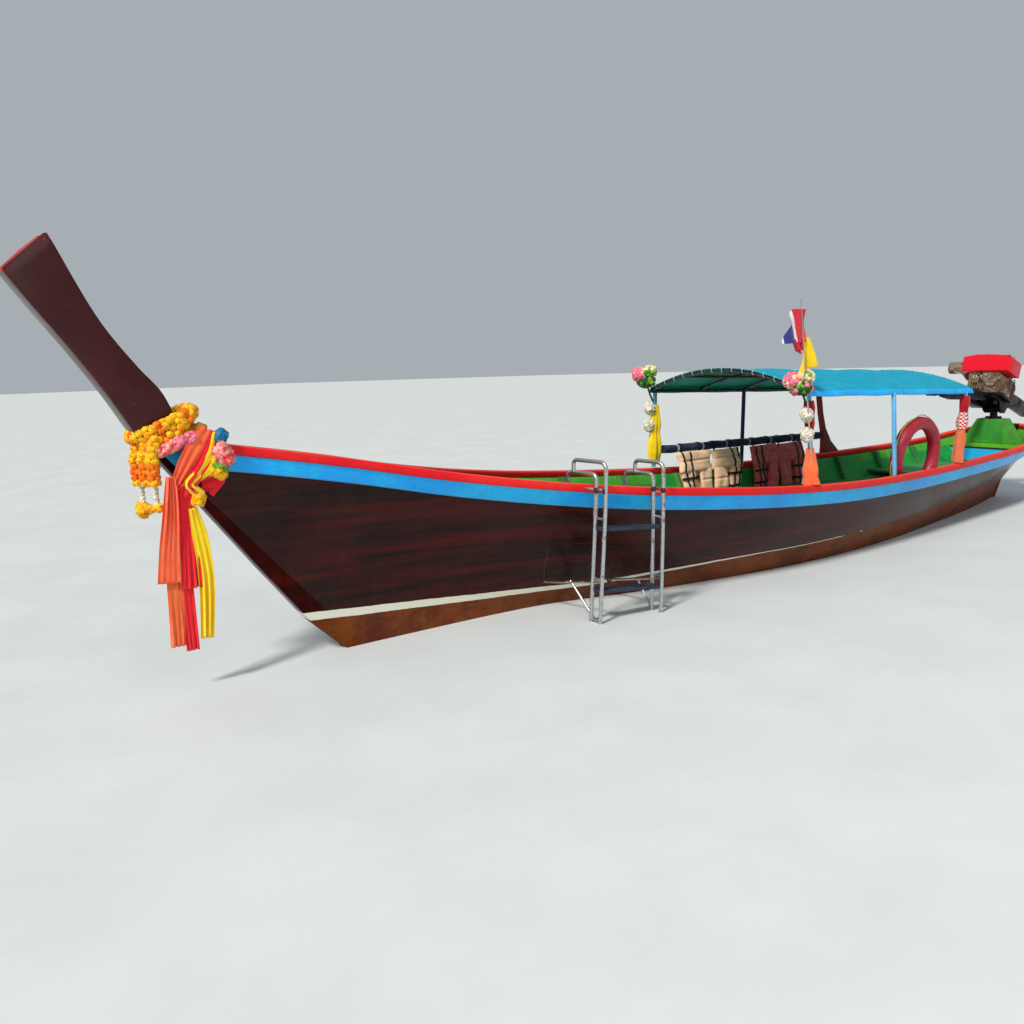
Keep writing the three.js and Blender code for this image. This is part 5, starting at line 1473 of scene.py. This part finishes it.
def build_engine():
    """The engine's castings and its tail with rounded edges, and the fittings on them."""
    for node, paint, bevel in (("engine_bed", "black_steel", 0.004), ("engine_block", "engine_metal", 0.006),
                               ("fuel_tank", "tank", 0.010), ("muffler", "muffler", 0.003),
                               ("flywheel", "flywheel", 0.003), ("tiller", "tiller", 0.006),
                               ("tail_tube", "tiller", 0.003)):
        planed(node, paint, bevel, "engine", smooth=32, dissolve=0.4)
    planed("swivel_bracket", "black_steel", 0.003, "swivel", smooth=32, dissolve=0.4)
    planed("propeller", "brass", 0.002, "propeller", smooth=40, dissolve=0.2)
    parts = []
    for y in (-0.060, 0.070):
        for z in (0.165, 0.215, 0.265, 0.310):
            parts += bolt((0.2300, y, z), (1, 0, 0), 0.008)
    for a in np.arange(6) * math.pi / 3:
        parts += bolt((0.2515, 0.020 + 0.048 * math.cos(a), 0.240 + 0.048 * math.sin(a)), (1, 0, 0), 0.0065)
    for a in np.arange(8) * math.pi / 4:
        parts += bolt((-0.0382, 0.110 * math.cos(a), 0.240 + 0.110 * math.sin(a)), (1, 0, 0), 0.007, 0.004)
    for x in (0.020, 0.120, 0.215):
        parts += bolt((x, 0.135, 0.1150), (0, 0, 1), 0.009) + bolt((x, -0.222, 0.1150), (0, 0, 1), 0.009)
    for y in (-0.302, -0.030, 0.160):
        parts += bolt((0.130, y, 0.5325 if abs(y) < 0.2 else 0.519), (0, 0, 1), 0.007, 0.004)
    parts += turned((0.110, -0.120, 0.550), (0.110, -0.120, 0.561),
                    [(0, 0.030), (0.003, 0.0335), (0.009, 0.0325), (0.011, 0.024)], 24)
    plug = [(0.0, 0.014), (0.012, 0.014), (0.013, 0.010), (0.034, 0.010), (0.035, 0.007), (0.05, 0.007)]
    parts += turned((0.095, 0.118, 0.30), (0.095, 0.170, 0.31), plug, 14)
    make_piece("engine_fittings", tipped(parts), "bright_metal", "engine_metal", body="engine")
    hoses = []
    for route, radius in (
            ([(0.150, 0.060, 0.345), (0.200, 0.100, 0.335), (0.244, 0.110, 0.310),
              (0.250, 0.100, 0.285)], 0.006),
            ([(0.200, -0.10, 0.345), (0.262, -0.120, 0.330), (0.268, -0.090, 0.270),
              (0.246, -0.055, 0.222)], 0.007),
            ([(0.060, 0.172, 0.31), (0.080, 0.195, 0.27), (0.060, 0.180, 0.20),
              (0.010, 0.150, 0.125)], 0.005),
            ([(0.236, 0.030, 0.125), (0.30, 0.030, 0.118), (0.42, 0.018, 0.078), (0.70, 0.010, -0.014),
              (1.00, 0.006, -0.118)], 0.0045)):
        hoses += tube(through(route, 40), radius, 10)
    make_piece("engine_hoses", tipped(hoses), "rubber", "black_steel", body="engine", smooth=60)
    grips = []
    for y in (-0.165, 0.165):
        grips += turned((1.100, y, -0.176), (1.100, -y, -0.176),
                        [(0, 0.0155), (0.003, 0.0185), (0.10, 0.0185), (0.103, 0.0155)], 18)
    make_piece("tiller_grips", tipped(grips), "rubber", "tiller_paint", body="engine", smooth=50)


# Stage
def build_stage():
    """A pale floor at the water's level, with a hole in the shape of the hull's waterplane."""
    i = np.linspace(0.0, STEPS, 80)
    edge, _, foot = hull_station(i)
    h = -foot[:, 2] / (edge[:, 2] - CAP_HEIGHT - foot[:, 2])
    side = hull_face(i, h)[:, :2]
    side = side[(side[:, 0] > -4.01) & (side[:, 0] < 3.90)]
    port = np.vstack([[(-4.015, 0.046)], side, [(3.905, 0.046)]])
    loop = np.vstack([port, port[::-1] * [1, -1]])
    way = unit(loop)
    rows = [loop * 0.997, loop + way * 0.5, loop + way * 3, loop + way * 12, way * 60]
    points = np.stack([np.concatenate([r, np.zeros((len(r), 1))], 1) for r in rows], 0)
    mesh = bpy.data.meshes.new("floor")
    faces = grid_faces(len(rows), len(loop), wrap_columns=True)
    mesh.from_pydata(points.reshape(-1, 3).tolist(), [], faces.tolist())
    work = bmesh.new()
    work.from_mesh(mesh)
    bmesh.ops.recalc_face_normals(work, faces=work.faces)
    if sum(f.normal.z for f in work.faces) < 0:
        bmesh.ops.reverse_faces(work, faces=work.faces)
    work.to_mesh(mesh)
    work.free()
    mesh.materials.append(PAINTS["floor"])
    floor = bpy.data.objects.new("floor", mesh)
    bpy.context.scene.collection.objects.link(floor)


def add_light(name, kind, place_at, aim, energy, size, tint):
    """A lamp that looks at a point; its size is an angle for the sun and a length for a panel."""
    data = bpy.data.lights.new(name, kind)
    data.energy = energy
    data.color = tint
    if kind == "SUN":
        data.angle = size
    else:
        data.size = size
    lamp = bpy.data.objects.new(name, data)
    lamp.location = place_at
    lamp.rotation_euler = (Vector(aim) - Vector(place_at)).to_track_quat("-Z", "Y").to_euler()
    bpy.context.scene.collection.objects.link(lamp)


# Place, turn and lens of the camera, as solved from the photograph
CAMERA_PLACE = (6.452, 4.972, 1.700)
CAMERA_TURN = (-127.709, 9.506, 1.587)
CAMERA_LENS, CAMERA_SENSOR = 33.688, 36.0


def build_view():
    """The photograph's viewpoint, a soft sun, and an even pale sky."""
    yaw, pitch, roll = (math.radians(a) for a in CAMERA_TURN)
    ahead = Vector((math.cos(yaw) * math.cos(pitch), math.sin(yaw) * math.cos(pitch), -math.sin(pitch)))
    level = Vector((math.sin(yaw), -math.cos(yaw), 0))
    above = level.cross(ahead)
    across = level * math.cos(roll) - above * math.sin(roll)
    upward = level * math.sin(roll) + above * math.cos(roll)
    data = bpy.data.cameras.new("camera")
    data.lens, data.sensor_width, data.sensor_fit = CAMERA_LENS, CAMERA_SENSOR, "HORIZONTAL"
    data.clip_end = 200
    camera = bpy.data.objects.new("camera", data)
    turn = Matrix((across, upward, -ahead)).transposed().to_4x4()
    camera.matrix_world = Matrix.Translation(CAMERA_PLACE) @ turn
    bpy.context.scene.collection.objects.link(camera)
    bpy.context.scene.camera = camera
    add_light("sun", "SUN", (6.0, 2.2, 6.5), (0, 0, 0), 3.1, math.radians(9), (1.0, 0.965, 0.90))
    add_light("soft_fill", "AREA", (5.5, 7.5, 4.5), (0.5, 0, 0.4), 90, 5.0, (0.93, 0.97, 1.0))
    bpy.context.scene.view_settings.view_transform = "Standard"
    world = bpy.data.worlds.new("studio")
    world.use_nodes = True
    back = world.node_tree.nodes["Background"]
    back.inputs["Color"].default_value = (0.86, 0.94, 1.0, 1)
    back.inputs["Strength"].default_value = 0.45
    bpy.context.scene.world = world


# Finishes of this boat
def waterline_group():
    """Where the hull is above or below the white line: a curve of height over length, and a width."""
    t, _, out = new_group("Waterline", [], [("Line", FLOAT), ("Below", FLOAT)])
    x, z = t.axis("X"), t.axis("Z")
    low, high = WATERLINE_STRIPE[0, 0], WATERLINE_STRIPE[-1, 0]
    curve = t.node("ShaderNodeFloatCurve", {"Value": t.maths("DIVIDE", t.minus(x, low), high - low)})
    points = curve.mapping.curves[0].points
    share = (WATERLINE_STRIPE[:, 0] - low) / (high - low)
    for k, (a, b) in enumerate(zip(share, WATERLINE_STRIPE[:, 1])):
        if k in (0, len(share) - 1):
            points[-1 if k else 0].location = (a, b)
        else:
            points.new(a, b)
    curve.mapping.update()
    above = t.minus(z, curve.outputs[0])
    wobble = t.times(t.minus(t.noise(t.place(), 9.0, 4.0), 0.5), 0.010)
    above = t.plus(above, wobble)
    half = t.ramp(x, 0.2, 3.9, 0.0030, 0.0240)
    line = t.ramp(t.minus(half, t.maths("ABSOLUTE", above)), -0.001, 0.002)
    worn = t.ramp(t.plus(t.noise(t.place(), 7.0, 5.0, 0.7), t.ramp(x, -1.6, 1.6, -0.30, 0.42)), 0.45, 0.52)
    t.fill(out, "Line", t.times(line, worn))
    t.fill(out, "Below", t.ramp(above, 0.0, -0.012))
    return t.tree


def hull_paint(name, paint, planks):
    """Dark paint, redder in streaks where it is thin, with the white line, the paint below it and the planks'
    seams; the red grows towards the bow, which is painted sunlight on the bow.
    """
    material, t, principled = shader(name)
    water = t.group("waterline")
    dirty = t.group("grime", Amount=0.75, Foot=0.10, Reach=0.22)
    wood = t.group("timber", Paint=paint, Faded=colour(52, 6, 4), Bare=colour(110, 40, 24), Wear=0.12,
                   Gloss=0.16)
    at = t.place()
    x = t.axis("X", at)
    streak = t.noise(t.stretched(at, (0.5, 1.0, 9.0)), 1.7, 5.0, 0.6)
    # Partly painted light: the redder tone and its rise towards the bow stand for sunlight on the bow; the
    # streaks themselves are thin paint
    redder = t.times(t.ramp(streak, 0.35, 0.75), t.ramp(x, -3.5, 1.2, 0.55, 1.0))
    upper = t.mix(redder, wood["Colour"], colour(74, 8, 5))
    below = t.mix(t.ramp(t.noise(at, 5.0, 5.0, 0.65), 0.35, 0.7), colour(124, 58, 20), colour(88, 30, 14))
    tufts = t.noise(t.stretched(at, (2, 2, 6)), 6.0, 4.0)
    weed = t.mix(t.ramp(tufts, 0.5, 0.75, 0.0, 0.6), below, colour(96, 88, 30))
    base = t.mix(water["Below"], upper, weed)
    base = t.mix(t.times(dirty["Mask"], 0.45), base, colour(62, 54, 26))
    base = t.mix(water["Line"], base, colour(226, 224, 205))
    seam = t.seams(t.axis("Y", t.uv()), 0.478, 0.5)
    height = t.minus(t.times(wood["Height"], 0.5), t.times(seam, 0.9 if planks else 0.0))
    rough = t.plus(wood["Roughness"], t.times(water["Below"], 0.35))
    feed(t, principled, base, rough, height, 0.002, 0.35, Specular_IOR_Level=0.2 if planks else 0.03)
    return material


def inside_paint():
    """Green inside, with a band of lighter green under the cap that is painted sunlight, left out where the
    canopy shades it, and dirt towards the floor.
    """
    material, t, principled = shader("inside_green")
    wood = t.group("timber", Paint=colour(16, 156, 72), Faded=colour(44, 170, 70), Bare=colour(120, 90, 50),
                   Wear=0.25, Gloss=0.40)
    depth = t.minus(t.carried("stripe"), 1.0)
    band = t.ramp(t.plus(depth, t.times(t.noise(t.place(), 14.0), 0.010)), 0.100, 0.094)
    x = t.axis("X")
    # Painted light: the lighter band shows only ahead of the canopy and aft of its shadow, where the sun
    # falls on the inside under the cap
    band = t.times(band, t.maths("MAXIMUM", t.ramp(x, 0.4, 0.5), t.ramp(x, -2.3, -2.5)))
    dirty = t.group("grime", Amount=0.8, Foot=-0.1)
    base = t.mix(band, wood["Colour"], colour(76, 170, 56))
    base = t.mix(dirty["Mask"], base, colour(60, 56, 34))
    height = t.minus(t.times(wood["Height"], 0.5), t.seams(t.axis("Y", t.uv()), 0.47, 0.5))
    feed(t, principled, base, wood["Roughness"], height, 0.002, 0.4, Specular_IOR_Level=0.2)
    return material


def boards_paint():
    """Worn floor boards with dark gaps between them."""
    material, t, principled = shader("floor_boards")
    gap = t.seams(t.maths("DIVIDE", t.axis("Y"), 0.118), 0.462, 0.482)
    wood = t.group("timber", Paint=colour(104, 118, 96), Faded=colour(150, 146, 122),
                   Bare=colour(116, 88, 60), Wear=0.8, Gloss=0.62)
    base = t.mix(gap, wood["Colour"], colour(20, 16, 12))
    height = t.minus(t.times(wood["Height"], 0.6), gap)
    feed(t, principled, base, wood["Roughness"], height, 0.004, 0.6)
    return material


def tarpaulin(name, top):
    """Coated canopy cloth: seams between its widths, creases and pale dirt."""
    material, t, principled = shader(name)
    at = t.place()
    weave = t.group("weave", Threads_per_metre=520.0)
    seam = t.seams(t.maths("DIVIDE", t.axis("X", at), 0.82), 0.484, 0.490)
    crease = t.noise(t.stretched(at, (2.0, 5.0, 5.0)), 2.4, 5.0, 0.62, 0.6)
    light, dark = ([min(1.0, c * gain + lift) for c in top[:3]] + [1.0]
                   for gain, lift in ((1.36, 0.008), (0.456, 0.0)))
    base = t.mix(t.ramp(crease, 0.35, 0.75, 0.0, 0.55), top, light)
    base = t.mix(t.times(seam, 0.35), base, dark)
    base = t.mix(t.group("grime", Amount=0.30, Foot=1.0)["Mask"], base, colour(90, 120, 110))
    height = t.plus(t.times(weave["Height"], 0.15),
                     t.plus(t.times(crease, 1.5), t.times(seam, 0.5)))
    feed(t, principled, base, 0.6, height, 0.003, 0.5, Specular_IOR_Level=0.1)
    return material


def banded(name, bands):
    """Cloth printed in stripes across its length: each band is (where it ends, colour)."""
    material, t, principled = shader(name)
    value = t.axis("Y", t.uv())
    base = colour(*bands[0][1])
    for (end, _), (_, tone) in zip(bands[:-1], bands[1:]):
        base = t.mix(t.ramp(value, end - 0.004, end + 0.004), base, colour(*tone))
    weave = t.group("weave", Threads_per_metre=800.0)
    base = t.mix(t.times(weave["Shade"], 0.22), base, colour(60, 40, 40))
    feed(t, principled, base, 0.8, weave["Height"], 0.0006, 0.5, Sheen_Weight=0.2)
    return material


def checked(name, first, second, size):
    """Small checks woven in two colours."""
    material, t, principled = shader(name)
    squares = t.node("ShaderNodeTexChecker", {"Vector": t.uv(), "Scale": 1 / size, "Color1": colour(*first),
                                              "Color2": colour(*second)})
    weave = t.group("weave")
    base = t.mix(t.times(weave["Shade"], 0.25), squares.outputs["Color"], colour(90, 40, 40))
    feed(t, principled, base, 0.85, weave["Height"], 0.0006, 0.5, Sheen_Weight=0.2)
    return material


def moulded(name, tone, rough, grain=160.0, depth=0.0004):
    """Rubber or plastic with a fine moulded grain and rubbed places."""
    material, t, principled = shader(name)
    at = t.place()
    fine, patches = t.noise(at, grain, 2.0, 0.5), t.noise(at, 12.0, 4.0, 0.6)
    rubbed = colour(*(min(255, c + 38) for c in tone))
    base = t.mix(t.ramp(patches, 0.35, 0.75, 0.0, 0.5), colour(*tone), rubbed)
    feed(t, principled, base, t.ramp(patches, 0.3, 0.7, rough - 0.08, rough + 0.15), fine, depth, 0.4)
    return material


def laid_rope(name, tone, dark, pitch):
    """Twisted rope: slanting strands from the UV along and round the cord."""
    material, t, principled = shader(name)
    along, round_it = (t.maths("DIVIDE", t.axis(side, t.uv()), length) for side, length in (
        ("Y", pitch), ("X", pitch * 0.5)))
    lay = t.maths("SINE", t.times(t.plus(along, round_it), 2 * math.pi))
    base = t.mix(t.ramp(lay, -1.0, 0.2), colour(*dark), colour(*tone))
    feed(t, principled, base, 0.8, lay, 0.0012, 0.7, Sheen_Weight=0.3)
    return material


def tank_paint(tone):
    """Red gloss on sheet steel: rubbed edges, fine scratches and oily finger marks."""
    material, t, principled = shader("tank_red")
    at = t.place()
    work = t.group("metal", Metal=tone, Stain=colour(84, 20, 14), Staining=0.10)
    chips, edge = t.noise(at, 26.0, 6.0, 0.7), t.carried("edge")
    bare = t.ramp(t.plus(chips, t.times(edge, 0.16)), 0.70, 0.73)
    base = t.mix(bare, work["Colour"], colour(120, 96, 84))
    feed(t, principled, base, t.times(work["Roughness"], 0.9), work["Height"], 0.0006, 0.25, Coat_Weight=0.15,
         Coat_Roughness=0.08, Specular_IOR_Level=0.3)
    return material


def floor_finish():
    """A pale floor with faint patches."""
    material, t, principled = shader("pale_floor")
    at = t.place()
    base = t.mix(t.ramp(t.noise(at, 1.6, 4.0, 0.6), 0.3, 0.7), colour(206, 210, 210), colour(212, 216, 216))
    feed(t, principled, base, 0.75, t.noise(at, 60.0, 3.0), 0.001, 0.1)
    return material


# Columns: paint, material, tone, faded tone, bare wood, wear, gloss, dirt, height the dirt starts at, and
# where they aren't the usual ones, the dirt's tone and the weight of the clear coat
TIMBER_PAINTS = (
    ("strake", "strake_blue", (17, 171, 255), (31, 199, 255), (120, 150, 170), 0.32, 0.34, 0.25, 0.5,
     (60, 80, 90), 0.2),
    ("cap", "cap_crimson", (236, 17, 33), (247, 45, 39), (150, 70, 40), 0.40, 0.38, 0.15, 0.5),
    ("cap_top", "cap_coral", (246, 64, 48), (250, 94, 68), (160, 84, 50), 0.42, 0.45, 0.2, 0.5),
    ("prow", "prow_maroon", (59, 5, 7), (78, 10, 11), (150, 52, 40), 0.36, 0.30, 0.25, 0.2,
     (60, 40, 34), 0.25),
    ("prow_top", "prow_end_red", (182, 44, 44), (196, 70, 60), (96, 30, 26), 0.5, 0.5, 0.2, 2.0),
    ("ribs", "rib_green", (40, 128, 66), (86, 150, 70), (206, 190, 150), 0.45, 0.5, 0.5, -0.15),
    ("thwart", "thwart_green", (34, 142, 84), (70, 160, 90), (150, 120, 80), 0.5, 0.45, 0.3, 0.2),
    ("foredeck", "foredeck_red", (176, 44, 38), (190, 70, 56), (140, 100, 70), 0.5, 0.5, 0.3, 0.9),
    ("stern_deck", "stern_deck_blue", (47, 186, 251), (75, 205, 255), (130, 140, 130), 0.3, 0.4, 0.3, 0.2),
    ("platform", "platform_green", (108, 187, 44), (67, 154, 60), (130, 110, 60), 0.4, 0.4, 0.3, 0.4),
    ("pedestal", "pedestal_green", (52, 156, 55), (112, 189, 41), (120, 96, 60), 0.4, 0.45, 0.4, 0.6),
    ("pole_blue", "post_light_blue", (103, 196, 255), (131, 216, 255), (120, 110, 100), 0.3, 0.4, 0.35, 0.7),
    # A navy copy of the posts' light blue: painted shade for the post under the canopy
    ("pole_blue_painted_shade", "post_blue_painted_shade", (19, 44, 81), (33, 66, 109), (110, 90, 70), 0.3, 0.45, 0.2, 0.7),
    ("knee_post", "knee_maroon", (131, 13, 22), (158, 23, 26), (120, 70, 50), 0.35, 0.4, 0.2, 0.6),
    ("white_pole", "staff_white", (176, 160, 152), (206, 196, 188), (120, 90, 76), 0.3, 0.5, 0.3, 0.8),
)
# Columns: cloth, material, tone, second tone, threads to the metre, fuzz, roughness, sheen, and where they
# aren't the usual ones, how far light passes and the weave's depth
CLOTHS = (
    ("navy_cloth", "curtain_navy", (16, 30, 58), (34, 54, 88), 700, 0.4, 0.8, 0.15),
    ("coral", "scarf_coral", (255, 92, 52), (255, 124, 74), 1000, 0.2, 0.62, 0.35, 0.10),
    ("crimson", "scarf_crimson", (227, 11, 33), (245, 31, 47), 1000, 0.2, 0.60, 0.35, 0.10),
    ("orange_cloth", "cloth_orange", (236, 96, 46), (244, 124, 72), 1000, 0.2, 0.66, 0.35, 0.10),
    ("yellow", "cloth_yellow", (253, 206, 5), (255, 222, 25), 1000, 0.2, 0.62, 0.35, 0.10),
    ("peach_cloth", "cloth_peach", (220, 112, 68), (221, 127, 83), 1000, 0.2, 0.66, 0.35, 0.10),
    ("maroon_cloth", "cloth_dark_red", (157, 6, 25), (199, 19, 40), 900, 0.2, 0.7, 0.3),
    ("peach_jacket", "jacket_peach", (255, 196, 158), (255, 222, 186), 620, 0.35, 0.8, 0.25),
    # Painted shade: a darker copy of the peach jacket cloth for the two jackets under the canopy; the peach
    # row is the cloth as it shows in sun
    ("maroon_jacket", "jacket_peach_painted_shade", (206, 84, 88), (226, 116, 116), 620, 0.35, 0.8, 0.25),
    ("webbing", "webbing_black", (14, 15, 18), (34, 34, 38), 420, 0.2, 0.6, 0.1, 0.0, 0.0005),
)
# Columns: metal, material, tone, stain, share stained, how metallic, and where they aren't the usual ones,
# depth of the surface, gain of its roughness, specular level
METALS = (
    ("frame_tube", "frame_tube_dark", (70, 84, 92), (70, 44, 30), 0.30, 0.8),
    ("stainless", "ladder_stainless", (206, 210, 214), (120, 92, 66), 0.10, 1.0, 0.0002, 1.35),
    ("black_steel", "black_steel", (5, 6, 8), (44, 24, 18), 0.16, 0.0, 0.001, None, 0.12),
    ("engine_metal", "engine_casting", (158, 140, 114), (88, 64, 46), 0.42, 0.7, 0.0012),
    ("bright_metal", "fittings_zinc", (222, 214, 198), (110, 70, 40), 0.30, 1.0, 0.0004),
    ("muffler", "muffler_steel", (191, 180, 163), (112, 62, 34), 0.42, 0.9, 0.0012),
    ("flywheel", "flywheel_iron", (82, 70, 60), (120, 70, 30), 0.45, 0.8, 0.0012),
    ("tiller", "tiller_black", (6, 10, 20), (50, 44, 40), 0.15, 0.0, 0.001, None, 0.12),
    ("brass", "propeller_brass", (214, 168, 84), (90, 96, 60), 0.35, 1.0, 0.0006),
)
# Columns: petal or leaf, material, tone, tone of its heart
BLOSSOMS = (
    ("marigold", "marigold_yellow", (255, 202, 26), (236, 152, 15)),
    ("amber", "marigold_orange", (255, 140, 22), (236, 104, 13)),
    ("white_petal", "petal_white", (244, 240, 226), (206, 196, 170)),
    ("cream_petal", "petal_cream", (246, 232, 196), (226, 196, 150)),
    ("rose_petal", "petal_rose", (246, 81, 83), (255, 181, 172)),
    ("pink_petal", "petal_pink", (245, 143, 166), (231, 91, 123)),
    ("green_petal", "leaf_fresh", (128, 178, 50), (70, 128, 40)),
    ("blue_petal", "petal_sea_blue", (34, 136, 176), (30, 96, 150)),
    ("leaf", "leaf_dark", (48, 96, 44), (30, 66, 30)),
)
# Columns: rubber or plastic, material, tone, roughness, and where they aren't the usual ones, scale and
# depth of its grain
MOULDED = (
    ("black_plastic", "buckle_black", (16, 17, 19), 0.4),
    ("rubber", "rubber_black", (20, 21, 23), 0.6, 120.0),
    ("tread", "tread_navy", (22, 32, 52), 0.6, 90.0, 0.0008),
    ("ring", "ring_crimson", (150, 14, 40), 0.45, 200.0),
)
# Where each band of the flag ends across its length, and its tone
FLAG_BANDS = ((0.155, (214, 30, 50)), (0.31, (240, 240, 244)), (0.69, (40, 52, 130)),
              (0.845, (240, 240, 244)), (1.0, (214, 30, 50)))


def make_paints(tones):
    """Every finish of the boat by name."""
    GROUPS.update(timber=painted_timber_group(), weave=weave_group(), grime=grime_group(),
                  metal=cast_metal_group(), waterline=waterline_group())
    paints = {
        "hull": hull_paint("hull_gloss", tones.hull, True),
        "stem": hull_paint("stem_gloss", tones.stem, False),
        "inside": inside_paint(),
        "boards": boards_paint(),
        "canopy": tarpaulin("canopy_teal", tones.canopy),
        "canopy_under": tarpaulin("canopy_underside", colour(1, 148, 128)),
        "canopy_hem": tarpaulin("canopy_hem_blue", tones.hem),
        "check_cloth": checked("cloth_red_check", (214, 30, 50), (246, 226, 220), 0.016),
        "yellow_rope": laid_rope("grab_line_yellow", (232, 190, 40), (150, 110, 20), 0.024),
        "white_cord": laid_rope("lacing_white", (226, 226, 214), (150, 150, 140), 0.010),
        "tank": tank_paint(tones.tank),
        "flag": banded("flag_stripes", FLAG_BANDS),
        "floor": floor_finish(),
    }
    for mixed, rows in ((painted_timber, TIMBER_PAINTS), (woven, CLOTHS), (metal, METALS),
                        (blossom, BLOSSOMS), (moulded, MOULDED)):
        paints.update((key, mixed(*row)) for key, *row in rows)
    return paints


# The add-on


def tone_setting(name, words, tone):
    """A colour that the panel can change."""
    return bpy.props.FloatVectorProperty(name=name, description=words, subtype="COLOR", size=4, min=0, max=1,
                                         default=colour(*tone))


def size_setting(name, words, value):
    """A length that the panel can change, from a quarter of its value to four times it."""
    return bpy.props.FloatProperty(name=name, description=words, default=value, min=value / 4, max=value * 4,
                                   precision=4, unit="LENGTH")


class BoatTones(bpy.types.PropertyGroup):
    """Colours that a painter would change."""

    hull: tone_setting("Hull", "Paint of the outer planks", (20, 2, 3))
    stem: tone_setting("Stem", "Paint of the stem, the keel and the stern post", (44, 5, 7))
    canopy: tone_setting("Canopy", "Upper face of the canopy's cloth", (2, 153, 185))
    hem: tone_setting("Canopy hem", "Hem along both sides of the canopy", (41, 168, 244))
    tank: tone_setting("Fuel tank", "Paint of the engine's fuel tank", (236, 12, 40))


class BoatSizes(bpy.types.PropertyGroup):
    """Sizes that a rigger would change."""

    cloth: size_setting("Canopy cloth", "Thickness of the canopy's cloth", 0.0022)
    line: size_setting("Grab line", "Radius of the life ring's grab line", 0.0042)
    staff: size_setting("Flag staff", "Radius of the flag staff", 0.0052)


class BOAT_OT_paints(bpy.types.Operator):
    """Mixes every finish of the boat"""

    bl_idname = "boat.paints"
    bl_label = "Finishes"

    def execute(self, context):
        PAINTS.update(make_paints(context.scene.boat_tones))
        return {"FINISHED"}


class BOAT_OT_hull(bpy.types.Operator):
    """Builds the planks, the rubbing strakes and the gunwale caps"""

    bl_idname = "boat.hull"
    bl_label = "Hull"

    def execute(self, context):
        build_hull()
        return {"FINISHED"}


class BOAT_OT_timbers(bpy.types.Operator):
    """Rounds the keel, posts, ribs, boards, benches and decks, and builds the prow"""

    bl_idname = "boat.timbers"
    bl_label = "Timbers and decks"

    def execute(self, context):
        build_timbers()
        return {"FINISHED"}


class BOAT_OT_canopy(bpy.types.Operator):
    """Builds the canopy's cloth, its lacing, its tubes and the posts"""

    bl_idname = "boat.canopy"
    bl_label = "Canopy"

    def execute(self, context):
        build_canopy(context.scene.boat_sizes.cloth)
        return {"FINISHED"}


class BOAT_OT_prow_cloths(bpy.types.Operator):
    """Builds the garlands, scarves and streamers of the prow"""

    bl_idname = "boat.prow_cloths"
    bl_label = "Prow garlands"

    def execute(self, context):
        build_prow_cloths()
        return {"FINISHED"}


class BOAT_OT_post_cloths(bpy.types.Operator):
    """Builds the cloths, flowers and bouquets on the posts"""

    bl_idname = "boat.post_cloths"
    bl_label = "Post cloths and flowers"

    def execute(self, context):
        build_post_cloths()
        return {"FINISHED"}


class BOAT_OT_flags(bpy.types.Operator):
    """Builds the staff with its flag and pennant"""

    bl_idname = "boat.flags"
    bl_label = "Flags"

    def execute(self, context):
        build_flags(context.scene.boat_sizes.staff)
        return {"FINISHED"}


class BOAT_OT_safety(bpy.types.Operator):
    """Builds the rolled curtain, the life jackets and the life ring"""

    bl_idname = "boat.safety"
    bl_label = "Jackets and ring"

    def execute(self, context):
        build_roll()
        build_jackets()
        build_ring(context.scene.boat_sizes.line)
        return {"FINISHED"}


class BOAT_OT_ladder(bpy.types.Operator):
    """Builds the boarding ladder"""

    bl_idname = "boat.ladder"
    bl_label = "Ladder"

    def execute(self, context):
        build_ladder()
        return {"FINISHED"}


class BOAT_OT_engine(bpy.types.Operator):
    """Rounds the engine, tail and propeller and adds their fittings"""

    bl_idname = "boat.engine"
    bl_label = "Engine"

    def execute(self, context):
        build_engine()
        return {"FINISHED"}


class BOAT_OT_stage(bpy.types.Operator):
    """Sets the floor, the lights and the camera"""

    bl_idname = "boat.stage"
    bl_label = "Stage"

    def execute(self, context):
        build_stage()
        build_view()
        return {"FINISHED"}


STEPS_IN_ORDER = (BOAT_OT_paints, BOAT_OT_stage, BOAT_OT_hull, BOAT_OT_timbers, BOAT_OT_canopy,
                  BOAT_OT_prow_cloths, BOAT_OT_post_cloths, BOAT_OT_flags, BOAT_OT_safety, BOAT_OT_ladder,
                  BOAT_OT_engine)


class BOAT_PT_panel(bpy.types.Panel):
    """Lists the steps that build the boat"""

    bl_label = "Longtail boat"
    bl_idname = "BOAT_PT_panel"
    bl_space_type = "VIEW_3D"
    bl_region_type = "UI"
    bl_category = "Boat"

    def draw(self, context):
        for settings in (context.scene.boat_tones, context.scene.boat_sizes):
            for name in settings.__annotations__:
                self.layout.prop(settings, name)
        for operator in STEPS_IN_ORDER:
            self.layout.operator(operator.bl_idname)


def register():
    """Makes the settings, the steps and the panel known to Blender."""
    for settings in (BoatTones, BoatSizes):
        bpy.utils.register_class(settings)
    for operator in STEPS_IN_ORDER:
        bpy.utils.register_class(operator)
    bpy.utils.register_class(BOAT_PT_panel)
    bpy.types.Scene.boat_tones = bpy.props.PointerProperty(type=BoatTones)
    bpy.types.Scene.boat_sizes = bpy.props.PointerProperty(type=BoatSizes)


def unregister():
    """Takes them all out again."""
    del bpy.types.Scene.boat_tones, bpy.types.Scene.boat_sizes
    bpy.utils.unregister_class(BOAT_PT_panel)
    for operator in reversed(STEPS_IN_ORDER):
        bpy.utils.unregister_class(operator)
    for settings in (BoatSizes, BoatTones):
        bpy.utils.unregister_class(settings)


def main():
    """Runs every step."""
    register()
    for operator in STEPS_IN_ORDER:
        category, name = operator.bl_idname.split(".")
        getattr(getattr(bpy.ops, category), name)()


if __name__ == "__main__":
    main()
